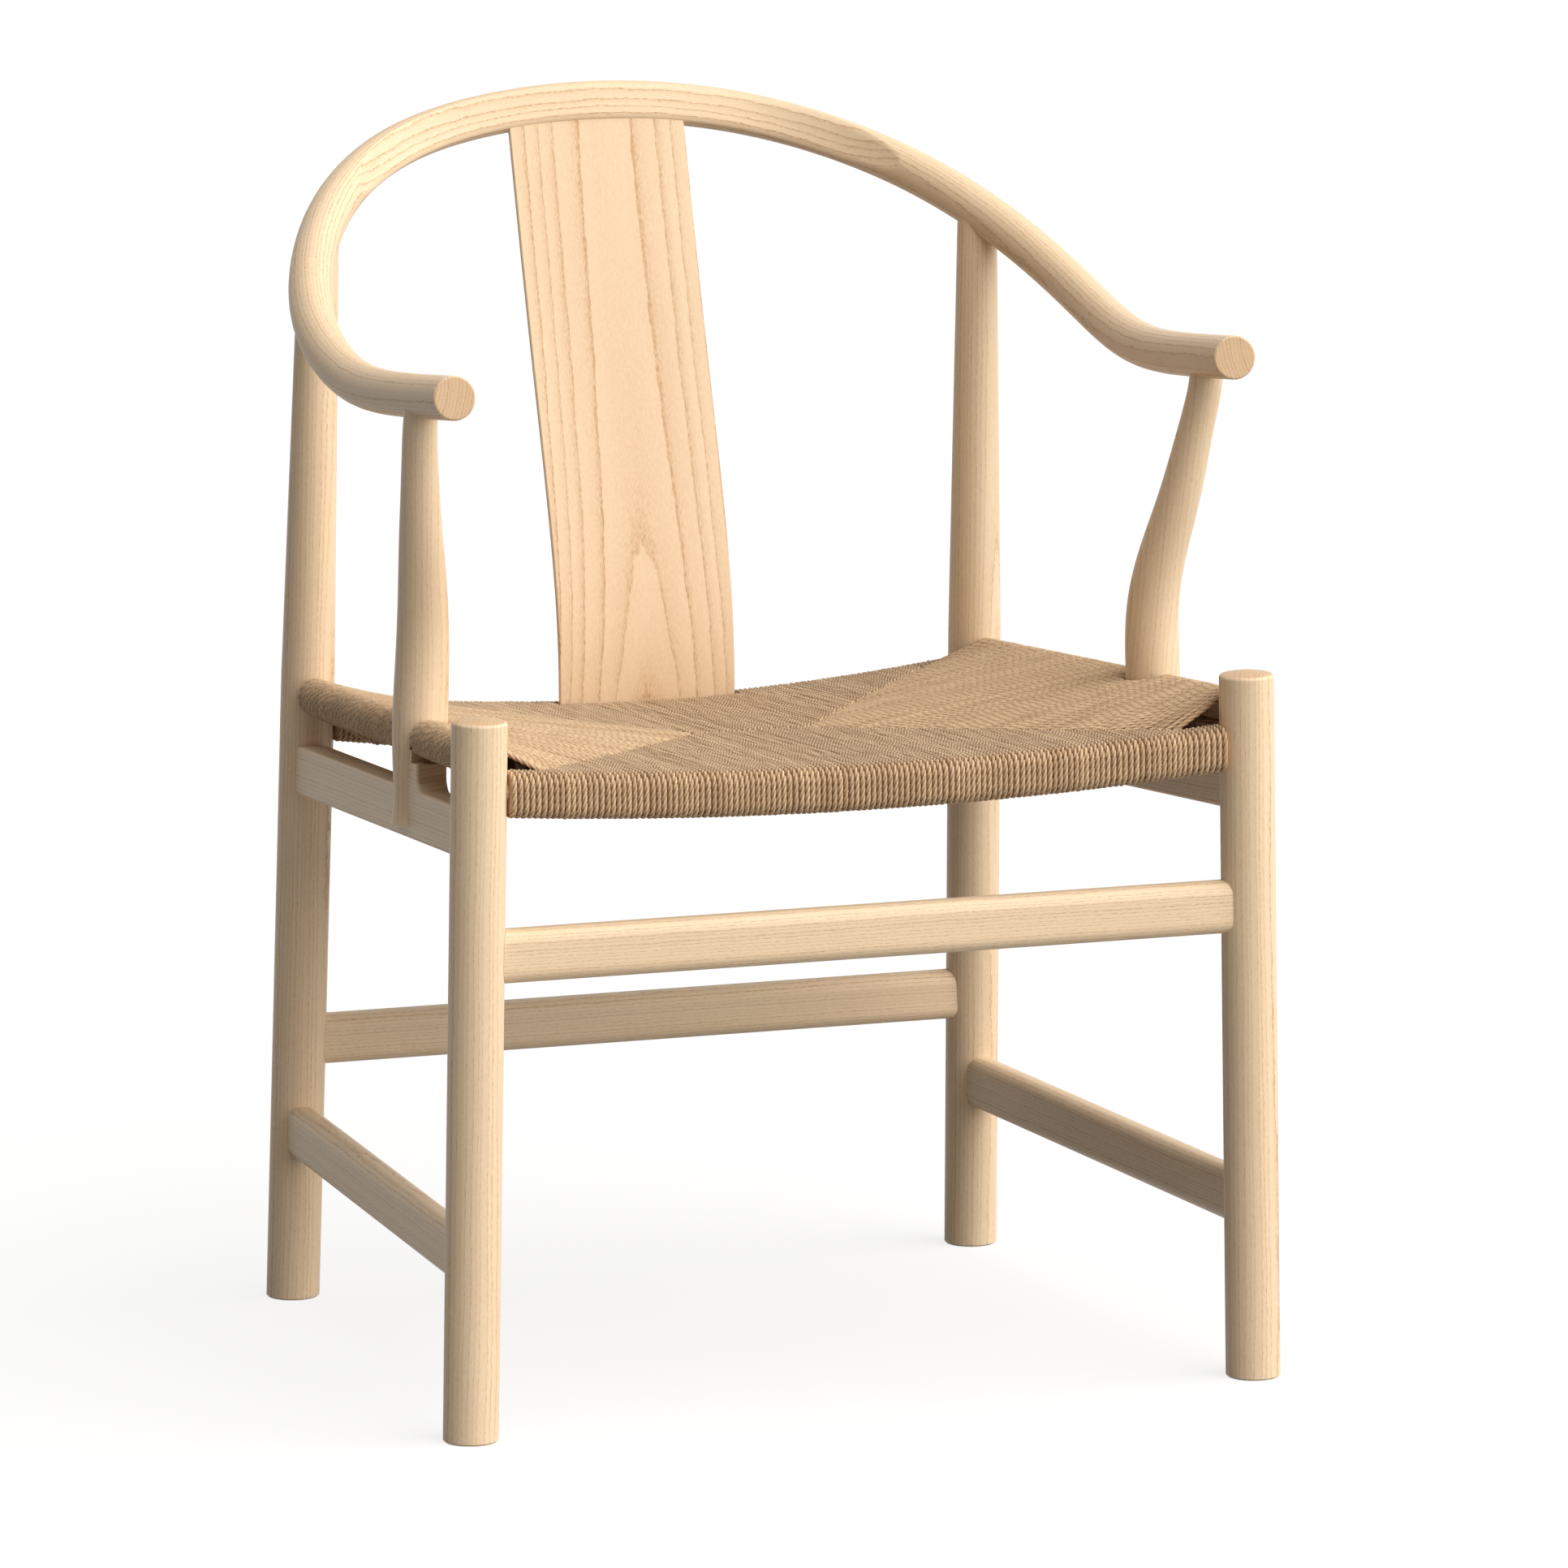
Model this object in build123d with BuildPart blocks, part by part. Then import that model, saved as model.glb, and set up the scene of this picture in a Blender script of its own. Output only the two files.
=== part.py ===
from build123d import *
from math import asin, degrees, radians, sqrt, tan
import os

# Horseshoe back armchair in ash with a woven paper cord seat. Millimetres and degrees.
# -Y is the front, +Z is up and the feet stand on Z = 0. Left and right are as seen from the front,
# so right is +X. The chair is symmetric about the YZ plane: side pieces are made at +X and mirrored.

# Legs
leg_diameter = 35.0
front_leg_spread = 528.0  # between the front legs' axes at the floor
rear_leg_spread = 478.4  # between the rear legs' axes at the floor
front_leg_y = -257.5
leg_base_depth = 437.0  # from the front legs' axes to the rear legs' axes at the floor
front_leg_splay = 1.0  # each leg leans in towards the middle
rear_leg_splay = 0.9
rear_leg_rake = 2.93  # the rear legs lean forward
front_leg_height = 457.0
front_leg_dome = 2.2
front_leg_edge = 2.5
foot_chamfer = 1.2
rear_leg_taper_start = 420.0
rear_leg_top_diameter = 26.0

# Crest rail: one bent rod whose back stretch has a flat cut along its front
crest_diameter = 28.0
crest_leg_height = 704.0  # where it crosses the rear legs
crest_end_edge = 1.5
facet_distance = 8.0  # from the rod's centre line to the flat
facet_tilt = 16.0
facet_length = 450.0
facet_runout = 32.0
facet_stations = 21  # sections that shape the flat along its length

# Points of the crest rail's centre line: X, Y, Z. The arm post's top and the points of the back
# are measured from the crossing with the rear leg, and those of the arm from the post's top.
crest_middle_back = 117.5
crest_middle_rise = 67.2
crest_back_points = [(-97.5, 102.1, 49.7), (-33.2, 49.5, 24.1), (7.9, -14.8, -7.2), (31.8, -88.5, -41.0)]
post_top = (34.0, -312.3, -57.7)
crest_arm_points = [(3.0, 138.0, -6.0), (1.2, 41.3, -4.4), (-1.9, -56.4, 6.1)]

# Seat rails: the front and rear rails dip in the middle, the side rails are round and straight
front_rail_height = 410.2  # centre line at the legs
front_rail_dip = 11.2
rear_rail_height = 390.2
rear_rail_dip = 16.9
seat_rail_depth = 20.0
seat_rail_tall = 24.0
seat_rail_corner = 6.0
side_rail_front_height = 432.0
side_rail_rear_height = 404.6
side_rail_diameter = 19.0

# Arm posts: each stands on the side rail, and its outer part laps down over rail and apron
post_setback = 139.2  # from the front leg's axis, along the side
post_diameter = 35.0
post_lap_height = 368.0
post_saddle = 4.0  # its inner part ends this far above the side rail's axis
# Share of the rise to the arm, then outward, forward, and diameter at that height
post_stations = [
    (0.076, -0.4, 0.2, 35.0),
    (0.255, -1.2, 2.6, 33.6),
    (0.434, 2.3, 13.6, 30.9),
    (0.613, 8.0, 28.0, 27.0),
    (0.792, 12.6, 40.4, 23.2),
]
post_top_diameter = 20.4

# Side aprons: a board under each side rail, with a raised block that carries the arm post
apron_thickness = 20.0
apron_tall = 31.5
apron_front_height = 368.6  # underside at the front leg
apron_rear_height = 340.0  # underside at the rear leg
apron_edge = 2.0
block_ahead = 30.0  # from the post's axis to the block's front end
block_seat = 7.0  # the block's top under the post, below the side rail's axis
block_drop = 15.0  # the block's top ahead of the post, below the side rail's axis
block_foot_radius = 9.0

# Stretchers
stretcher_thickness = 20.0
stretcher_corner = 8.5
front_stretcher_height = 306.5
front_stretcher_tall = 34.0
rear_stretcher_height = 173.0
rear_stretcher_tall = 33.0
side_stretcher_height = 113.8
side_stretcher_tall = 34.5

# Back splat: points of its middle plane, above and behind the rear rail's centre
splat_width = 122.0
splat_thickness = 9.0
splat_points = [(-4.0, -3.4), (57.0, -1.3), (127.0, 13.6), (227.0, 46.2)]
splat_top_forward = 5.0  # its middle plane meets the crest this far ahead of the centre line
splat_top_below = 9.5
splat_trim = 3.0  # left over at each end before the shoulders are scribed

# Woven seat
cord_wrap = 3.1  # the cord's thickness on the rails
strand_sink = 0.8  # the sheet leaves the wrapped rails this far below their crowns
seat_middle_height = 394.0
seat_middle_thickness = 14.0
seat_apex_half = 39.0  # half the length of the straight seam in the middle
seat_apex_y = -46.0
seat_corner_inset = 33.0  # from a leg's axis to the start of a diagonal seam
seat_corner_setback = 23.1  # from a rail's centre line to the start of a diagonal seam
seat_notch_tall = 70.0  # height cleared round an arm post

# Joints
tenon_depth = 20.0
rail_tenon_diameter = 12.0
leg_top_tenon_diameter = 16.0
post_top_tenon_diameter = 11.0
crest_tenon_past_centre = 6.0
board_tenon_thickness = 10.0
board_tenon_margin = 6.0
splat_tenon_thickness = 6.0
splat_tenon_width = 100.0
splat_tenon_past = 5.0  # beyond the ends of the middle plane
dowel_diameter = 6.0
dowel_inner = 5.0  # from the side's middle plane to its inner end
dowel_skin = 5.0  # from its outer end to the post's nominal surface
dowel_above_apron = 7.9  # the lower dowel, above the middle of the apron
tack_head_diameter = 5.0
tack_head_thickness = 1.0
tack_shank_diameter = 1.6
tack_shank_length = 8.0
tack_spacing = 240.0

# Clearances
joint_clearance = 0.1
scribe_gap = 0.15
cord_gap = 0.3

os.makedirs("parts", exist_ok=True)

# Reference lines and planes of the +X side


def front_axis(height):
    """Point on the front leg's axis at a height above the floor."""
    return Vector(front_leg_spread / 2 - height * tan(radians(front_leg_splay)), front_leg_y, height)


def rear_axis(height):
    """Point on the rear leg's axis at a height above the floor."""
    x = rear_leg_spread / 2 - height * tan(radians(rear_leg_splay))
    y = front_leg_y + leg_base_depth - height * tan(radians(rear_leg_rake))
    return Vector(x, y, height)


side_plane = Plane(
    origin=front_axis(0),
    x_dir=rear_axis(0) - front_axis(0),
    z_dir=(rear_axis(0) - front_axis(0)).cross(front_axis(1) - front_axis(0)),
)
side_rail_front = front_axis(side_rail_front_height)
side_rail_rear = rear_axis(side_rail_rear_height)
side_rail_line = side_rail_rear - side_rail_front


def on_side_rail(setback):
    """Point on the side rail's axis at a distance behind the front leg's axis."""
    reach = side_plane.to_local_coords(side_rail_rear).X
    return side_rail_front + side_rail_line * (setback / reach)


def mirrored(point):
    """The same point on the -X side."""
    return Vector(-point.X, point.Y, point.Z)


crest_leg = rear_axis(crest_leg_height)
post_root = on_side_rail(post_setback)
post_crest = crest_leg + Vector(*post_top)
crest_middle = Vector(0, crest_leg.Y + crest_middle_back, crest_leg.Z + crest_middle_rise)
crest_radius = crest_diameter / 2
rear_rail_end = rear_axis(rear_rail_height)
front_rail_end = front_axis(front_rail_height)

# Solids that several pieces share


def peg(start, end, diameter):
    """Round rod between two points."""
    with BuildPart() as rod:
        with BuildSketch(Plane(origin=start, z_dir=end - start)):
            Circle(diameter / 2)
        extrude(amount=(end - start).length)
    return rod.part


def flat_bar(start, end, thickness, tall, corner):
    """Straight bar between two points, upright, with rounded long edges."""
    along = end - start
    with BuildPart() as bar:
        with BuildSketch(Plane(origin=start, x_dir=along.cross(Vector(0, 0, 1)), z_dir=along)):
            RectangleRounded(thickness, tall, corner)
        extrude(amount=along.length)
    return bar.part


def dip_radius(end, dip):
    """Radius of the arc that a front or rear seat rail follows."""
    return (end.X**2 + dip**2) / (2 * dip)


def rail_dip_at(end, dip, x):
    """Height of a dipped rail's centre line at x."""
    radius = dip_radius(end, dip)
    return end.Z - dip + radius - sqrt(radius**2 - x**2)


def dipped_bar(end, dip, extra):
    """Front or rear seat rail from leg axis to leg axis, grown by extra on every side."""
    radius = dip_radius(end, dip)
    centre = Vector(0, end.Y, end.Z - dip + radius)
    arc = 2 * degrees(asin(end.X / radius))
    backward = Vector(0, 1, 0)
    start = Plane(origin=mirrored(end), x_dir=backward, z_dir=(mirrored(end) - centre).cross(backward))
    depth = seat_rail_depth + 2 * extra
    tall = seat_rail_tall + 2 * extra
    with BuildPart() as bar:
        with BuildSketch(start):
            RectangleRounded(depth, tall, seat_rail_corner + extra)
        revolve(axis=Axis(centre, (0, -1, 0)), revolution_arc=arc)
    return bar.part


def crest_path():
    """The crest rail's centre line, from the -X arm's end round to the +X arm's end."""
    half = [crest_leg + Vector(*offset) for offset in crest_back_points]
    half += [post_crest + Vector(*offset) for offset in crest_arm_points]
    with BuildLine() as path:
        Spline(*[mirrored(point) for point in reversed(half)], crest_middle, *half)
    return path.line.edge()


def crest_rod(diameter):
    """Round rod along the crest rail's centre line."""
    path = crest_path()
    with BuildPart() as rod:
        with BuildSketch(Plane(origin=path @ 0, z_dir=path % 0)):
            Circle(diameter / 2)
        sweep(path=path)
    return rod.part


def splat_board(thickness, width, past):
    """Board on the splat's middle plane that runs past its first and last points."""
    rail_middle = rear_rail_end.Z - rear_rail_dip
    plane_points = [(rear_rail_end.Y + back, rail_middle + rise) for rise, back in splat_points]
    plane_points.append((crest_middle.Y - splat_top_forward, crest_middle.Z - splat_top_below))
    with BuildPart() as board:
        with BuildSketch(Plane.YZ) as outline:
            with BuildLine():
                curve = Spline(*plane_points)
                Line(curve @ 0, curve @ 0 - (curve % 0) * past)
                Line(curve @ 1, curve @ 1 + (curve % 1) * past)
            trace(line_width=thickness)
        extrude(amount=width / 2, both=True)
    return board.part


def turning_plane(start, end, beside=Vector(0, -1, 0)):
    """Plane through a turned piece's axis: local X is its radius and local Y runs to its end."""
    across = (end - start).cross(beside)
    return Plane(origin=start, x_dir=across, z_dir=across.cross(end - start))


def post_point(rise_share, out, forward):
    """Point on the arm post's axis, from where it crosses the side rail's axis."""
    return post_root + Vector(out, -forward, rise_share * (post_crest.Z - post_root.Z))


def tenon_pair(start, end, leg_reach):
    """Starts and ends of the tenons at both ends of a member between two leg axes."""
    along = (end - start).normalized()
    inner = leg_reach - tenon_depth
    outer = leg_reach + tenon_depth
    return [(start + along * inner, start + along * outer), (end - along * outer, end - along * inner)]


def round_tenons(start, end, diameter):
    """Round tenons at both ends of a member between two leg axes."""
    return [peg(a, b, diameter) for a, b in tenon_pair(start, end, leg_diameter / 2)]


def board_tenons(start, end, tall, extra):
    """Flat tenons at both ends of a board between two leg axes, grown by extra on every side."""
    thickness = board_tenon_thickness + 2 * extra
    height = tall - 2 * board_tenon_margin + 2 * extra
    corner = board_tenon_thickness / 4
    return [flat_bar(a, b, thickness, height, corner) for a, b in tenon_pair(start, end, leg_diameter / 2)]


def with_mirror_image(half):
    """Whole symmetric piece from its +X half."""
    with BuildPart() as whole:
        add(half)
        mirror(about=Plane.YZ)
    return whole.part


def save_pair(name, piece):
    """Write a piece of the +X side and its mirror image."""
    piece.label = name + "_right"
    export_step(piece, "parts/" + piece.label + ".step")
    with BuildPart() as other:
        mirror(piece, about=Plane.YZ)
    other.part.label = name + "_left"
    export_step(other.part, "parts/" + other.part.label + ".step")


def save(name, piece):
    """Write a piece that stands alone."""
    piece.label = name
    export_step(piece, "parts/" + name + ".step")


# Members that run from leg axis to leg axis
apron_front_middle = apron_front_height + apron_tall / 2
apron_rear_middle = apron_rear_height + apron_tall / 2
apron_line = (front_axis(apron_front_middle), rear_axis(apron_rear_middle))
side_stretcher_line = (front_axis(side_stretcher_height), rear_axis(side_stretcher_height))
front_stretcher_end = front_axis(front_stretcher_height)
rear_stretcher_end = rear_axis(rear_stretcher_height)
rail_hole = rail_tenon_diameter + 2 * joint_clearance

# Round legs cut to the shape that a shoulder is scribed to
front_leg_top = front_axis(front_leg_height)
scribe_diameter = leg_diameter + 2 * scribe_gap
front_scribe = peg(front_axis(0), front_leg_top, scribe_diameter)
rear_round_top = rear_axis(rear_leg_taper_start)
rear_scribe = peg(rear_axis(0), rear_round_top, scribe_diameter)
front_scribes = [front_scribe, peg(mirrored(front_axis(0)), mirrored(front_leg_top), scribe_diameter)]
rear_scribes = [rear_scribe, peg(mirrored(rear_axis(0)), mirrored(rear_round_top), scribe_diameter)]
crest_scribe = crest_rod(crest_diameter + 2 * scribe_gap)

# Dowels through each post's lap: one into the side rail, one into the apron's block
outward = side_plane.z_dir
upward = side_plane.y_dir
apron_drop = (apron_line[1] - apron_line[0]) * (post_setback / side_plane.to_local_coords(apron_line[1]).X)
dowel_centres = [post_root, apron_line[0] + apron_drop + upward * dowel_above_apron]


def post_dowel(centre, diameter, extra):
    """Dowel across a post's lap, longer by extra at both ends."""
    start = centre - outward * (dowel_inner + extra)
    end = centre + outward * (post_diameter / 2 - dowel_skin + extra)
    return peg(start, end, diameter)


def dowel_hole(centre):
    """Hole that a post's dowel sits in."""
    return post_dowel(centre, dowel_diameter + 2 * joint_clearance, joint_clearance)


# Tacks on the inner faces of the seat rails
tack_half = tack_spacing / 2
front_tack = Vector(
    tack_half, front_leg_y + seat_rail_depth / 2, rail_dip_at(front_rail_end, front_rail_dip, tack_half)
)
rear_tack = Vector(
    tack_half, rear_rail_end.Y - seat_rail_depth / 2, rail_dip_at(rear_rail_end, rear_rail_dip, tack_half)
)
side_tacks = [on_side_rail(post_setback + step * tack_half) for step in (1, 2)]
tack_places = [
    (front_tack, Vector(0, 1, 0)),
    (rear_tack, Vector(0, -1, 0)),
    (side_tacks[0] - outward * (side_rail_diameter / 2), -outward),
    (side_tacks[1] - outward * (side_rail_diameter / 2), -outward),
]


def tack_pilot(place):
    """Hole in a rail for a tack's shank."""
    face, out = place
    depth = tack_shank_length + joint_clearance
    return peg(face - out * depth, face + out * depth, tack_shank_diameter + 2 * joint_clearance)


def tack(place, extra):
    """Tack driven into a rail: its head stands on the face, grown by extra on every side."""
    face, out = place
    with BuildPart() as nail:
        add(peg(face - out * (tack_shank_length + extra), face, tack_shank_diameter + 2 * extra))
        add(peg(face, face + out * (tack_head_thickness + extra), tack_head_diameter + 2 * extra))
    return nail.part


# Front legs: round posts that end just above the seat in a shallow dome
front_leg_length = (front_leg_top - front_axis(0)).length
leg_radius = leg_diameter / 2
dome_radius = (leg_radius**2 + front_leg_dome**2) / (2 * front_leg_dome)
dome_middle_drop = dome_radius - sqrt(dome_radius**2 - (leg_radius / 2) ** 2)
with BuildPart() as front_leg:
    with BuildSketch(turning_plane(front_axis(0), front_leg_top)) as front_leg_outline:
        with BuildLine():
            Polyline(
                (0, front_leg_length),
                (0, -leg_radius),
                (leg_radius, -leg_radius),
                (leg_radius, front_leg_length - front_leg_dome),
            )
            ThreePointArc(
                (leg_radius, front_leg_length - front_leg_dome),
                (leg_radius / 2, front_leg_length - dome_middle_drop),
                (0, front_leg_length),
            )
        make_face()
        fillet(front_leg_outline.vertices().group_by(Axis.X)[-1].sort_by(Axis.Y)[-1], front_leg_edge)
    revolve(axis=Axis(front_axis(0), front_leg_top - front_axis(0)))
    split(bisect_by=Plane.XY, keep=Keep.TOP)
    chamfer(front_leg.faces().sort_by(Axis.Z)[0].edges(), foot_chamfer)
    add(round_tenons(mirrored(front_rail_end), front_rail_end, rail_hole)[1], mode=Mode.SUBTRACT)
    add(round_tenons(side_rail_front, side_rail_rear, rail_hole)[0], mode=Mode.SUBTRACT)
    add(board_tenons(*apron_line, apron_tall, joint_clearance)[0], mode=Mode.SUBTRACT)
    add(board_tenons(*side_stretcher_line, side_stretcher_tall, joint_clearance)[0], mode=Mode.SUBTRACT)
    add(
        board_tenons(
            mirrored(front_stretcher_end), front_stretcher_end, front_stretcher_tall, joint_clearance
        )[1],
        mode=Mode.SUBTRACT,
    )
save_pair("front_leg", front_leg.part)

# Rear legs: round up to the seat, then tapered up to the crest rail, which they are scribed to
rear_leg_length = (crest_leg - rear_axis(0)).length
rear_leg_round = (rear_axis(rear_leg_taper_start) - rear_axis(0)).length
crest_tenon_base = crest_diameter
crest_tenon_start = rear_axis(crest_leg_height - crest_tenon_base)
crest_tenon_end = rear_axis(crest_leg_height + crest_tenon_past_centre)
with BuildPart() as rear_leg:
    with BuildSketch(turning_plane(rear_axis(0), crest_leg)):
        Polygon(
            (0, -leg_radius),
            (leg_radius, -leg_radius),
            (leg_radius, rear_leg_round),
            (rear_leg_top_diameter / 2, rear_leg_length),
            (0, rear_leg_length),
            align=None,
        )
    revolve(axis=Axis(rear_axis(0), crest_leg - rear_axis(0)))
    split(bisect_by=Plane.XY, keep=Keep.TOP)
    chamfer(rear_leg.faces().sort_by(Axis.Z)[0].edges(), foot_chamfer)
    add(crest_scribe, mode=Mode.SUBTRACT)
    add(peg(crest_tenon_start, crest_tenon_end, leg_top_tenon_diameter))
    add(round_tenons(mirrored(rear_rail_end), rear_rail_end, rail_hole)[1], mode=Mode.SUBTRACT)
    add(round_tenons(side_rail_front, side_rail_rear, rail_hole)[1], mode=Mode.SUBTRACT)
    add(board_tenons(*apron_line, apron_tall, joint_clearance)[1], mode=Mode.SUBTRACT)
    add(board_tenons(*side_stretcher_line, side_stretcher_tall, joint_clearance)[1], mode=Mode.SUBTRACT)
    add(
        board_tenons(
            mirrored(rear_stretcher_end), rear_stretcher_end, rear_stretcher_tall, joint_clearance
        )[1],
        mode=Mode.SUBTRACT,
    )
save_pair("rear_leg", rear_leg.part)

# Arm posts: S-curved and tapered, with a lap at the foot and a round tenon in the arm
post_axis = [post_point(share, out, ahead) for share, out, ahead, _ in post_stations]
post_low = post_root - upward * (post_root.Z - post_lap_height)
post_tenon_line = (post_crest - post_axis[-1]).normalized()
post_tenon_start = post_crest - post_tenon_line * crest_tenon_base
post_tenon_end = post_crest + post_tenon_line * crest_tenon_past_centre
lap_plane = side_plane.offset(apron_thickness / 2)
saddle_local = side_plane.to_local_coords(post_root)
saddle_bottom = side_plane.to_local_coords(post_low).Y - leg_radius
saddle_top = saddle_local.Y + post_saddle
post_sections = [(post_low, post_diameter), (post_root, post_diameter)]
post_sections += [(centre, station[3]) for centre, station in zip(post_axis, post_stations)]
post_sections.append((post_crest, post_top_diameter))
with BuildPart() as arm_post:
    for centre, diameter in post_sections:
        with BuildSketch(Plane(origin=centre)):
            Circle(diameter / 2)
    loft()
    with BuildSketch(lap_plane):
        with Locations((saddle_local.X, (saddle_bottom + saddle_top) / 2)):
            Rectangle(2 * post_diameter, saddle_top - saddle_bottom)
    extrude(amount=-2 * post_diameter, mode=Mode.SUBTRACT)
    add(peg(side_rail_front, side_rail_rear, side_rail_diameter + 2 * scribe_gap), mode=Mode.SUBTRACT)
    add(crest_scribe, mode=Mode.SUBTRACT)
    add(peg(post_tenon_start, post_tenon_end, post_top_tenon_diameter))
    for centre in dowel_centres:
        add(dowel_hole(centre), mode=Mode.SUBTRACT)
save_pair("arm_post", arm_post.part)

# Crest rail: one rod bent into a horseshoe, faceted along the back and mortised from below
facet_cut = crest_diameter
crest_length = crest_path().length


def facet_section(distance_along):
    """Cross-section of the waste at a distance from the rail's middle, before the flat."""
    path = crest_path()
    centre = path @ (0.5 + distance_along / crest_length)
    tangent = path % (0.5 + distance_along / crest_length)
    from_end = facet_length / 2 - abs(distance_along)
    lift = (crest_radius - facet_distance) * max(0, 1 - from_end / facet_runout) ** 2
    level = tangent.cross(Vector(0, 0, 1)).normalized()
    normal = level.rotate(Axis((0, 0, 0), tangent), -facet_tilt)
    start = centre + normal * (facet_distance + lift)
    with BuildSketch(Plane(origin=start, x_dir=normal, z_dir=tangent)) as waste:
        Rectangle(facet_cut, facet_cut + crest_diameter, align=(Align.MIN, Align.CENTER))
    return waste.sketch.face()


def end_ring(end, inward):
    """Waste that leaves a chamfer round an end of the rod."""
    edge = crest_end_edge
    with BuildPart() as ring:
        with BuildSketch(turning_plane(end, end + inward, Vector(0, 0, 1))):
            Polygon(
                (crest_radius - 2 * edge, -edge),
                (crest_radius + edge, -edge),
                (crest_radius + edge, 2 * edge),
                align=None,
            )
        revolve(axis=Axis(end, inward))
    return ring.part


facet_ends = facet_length / 2
facet_places = [facet_ends * (2 * step / (facet_stations - 1) - 1) for step in range(facet_stations)]
with BuildPart() as facet_waste:
    loft([facet_section(place) for place in facet_places], ruled=True)
crest_hole = leg_top_tenon_diameter + 2 * joint_clearance
post_hole = post_top_tenon_diameter + 2 * joint_clearance
splat_slot = splat_board(
    splat_tenon_thickness + 2 * joint_clearance,
    splat_tenon_width + 2 * joint_clearance,
    splat_tenon_past + joint_clearance,
)
leg_hole_line = crest_tenon_end + (crest_tenon_end - crest_leg).normalized() * joint_clearance
post_hole_line = post_tenon_end + post_tenon_line * joint_clearance
with BuildPart() as crest_rail:
    add(crest_rod(crest_diameter))
    add(facet_waste.part, mode=Mode.SUBTRACT)
    add(end_ring(crest_path() @ 0, crest_path() % 0), mode=Mode.SUBTRACT)
    add(end_ring(crest_path() @ 1, -(crest_path() % 1)), mode=Mode.SUBTRACT)
    for place in (crest_tenon_start, mirrored(crest_tenon_start)):
        end = leg_hole_line if place.X > 0 else mirrored(leg_hole_line)
        add(peg(place, end, crest_hole), mode=Mode.SUBTRACT)
    for place in (post_tenon_start, mirrored(post_tenon_start)):
        end = post_hole_line if place.X > 0 else mirrored(post_hole_line)
        add(peg(place, end, post_hole), mode=Mode.SUBTRACT)
    add(splat_slot, mode=Mode.SUBTRACT)
save("crest_rail", crest_rail.part)

# Front and rear seat rails: flat shoulders against the legs, round tenons, pilot holes for tacks


def shoulder_plane(leg_axis, height, gap):
    """Plane that clears a leg's inner side by a gap, facing the middle of the chair."""
    inward = (leg_axis(1) - leg_axis(0)).cross(Vector(0, 1, 0)).normalized()
    return Plane(origin=leg_axis(height) + inward * (leg_diameter / 2 + gap), z_dir=inward)


for name, leg_axis, end, dip, place in (
    ("front_seat_rail", front_axis, front_rail_end, front_rail_dip, tack_places[0]),
    ("rear_seat_rail", rear_axis, rear_rail_end, rear_rail_dip, tack_places[1]),
):
    with BuildPart() as half_rail:
        add(dipped_bar(end, dip, 0))
        split(bisect_by=shoulder_plane(leg_axis, end.Z, scribe_gap), keep=Keep.TOP)
        add(round_tenons(mirrored(end), end, rail_tenon_diameter))
        add(tack_pilot(place), mode=Mode.SUBTRACT)
        if name == "rear_seat_rail":
            add(splat_slot, mode=Mode.SUBTRACT)
        split(bisect_by=Plane.YZ, keep=Keep.TOP)
    save(name, with_mirror_image(half_rail.part))

# Side seat rails
with BuildPart() as side_seat_rail:
    add(peg(side_rail_front, side_rail_rear, side_rail_diameter))
    add([front_scribe, rear_scribe], mode=Mode.SUBTRACT)
    add(round_tenons(side_rail_front, side_rail_rear, rail_tenon_diameter))
    add(dowel_hole(dowel_centres[0]), mode=Mode.SUBTRACT)
    add([tack_pilot(place) for place in tack_places[2:]], mode=Mode.SUBTRACT)
save_pair("side_seat_rail", side_seat_rail.part)

# Side aprons: the board and its block are one piece, with hollow corners at the block's foot
apron_front = side_plane.to_local_coords(front_axis(apron_front_height))
apron_rear = side_plane.to_local_coords(rear_axis(apron_rear_height))
apron_slope = (apron_rear.Y - apron_front.Y) / (apron_rear.X - apron_front.X)
rail_front_local = side_plane.to_local_coords(side_rail_front)
rail_rear_local = side_plane.to_local_coords(side_rail_rear)
rail_slope = (rail_rear_local.Y - rail_front_local.Y) / (rail_rear_local.X - rail_front_local.X)
block_front = saddle_local.X - block_ahead
block_step = saddle_local.X - post_diameter / 2
block_back = saddle_local.X + post_diameter / 2


def apron_top(along):
    """Height of the apron's top edge at a place along the side."""
    return apron_front.Y + apron_tall + apron_slope * along


def below_rail(along, drop):
    """Height on the side plane that far below the side rail's axis."""
    return rail_front_local.Y + rail_slope * along - drop


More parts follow.
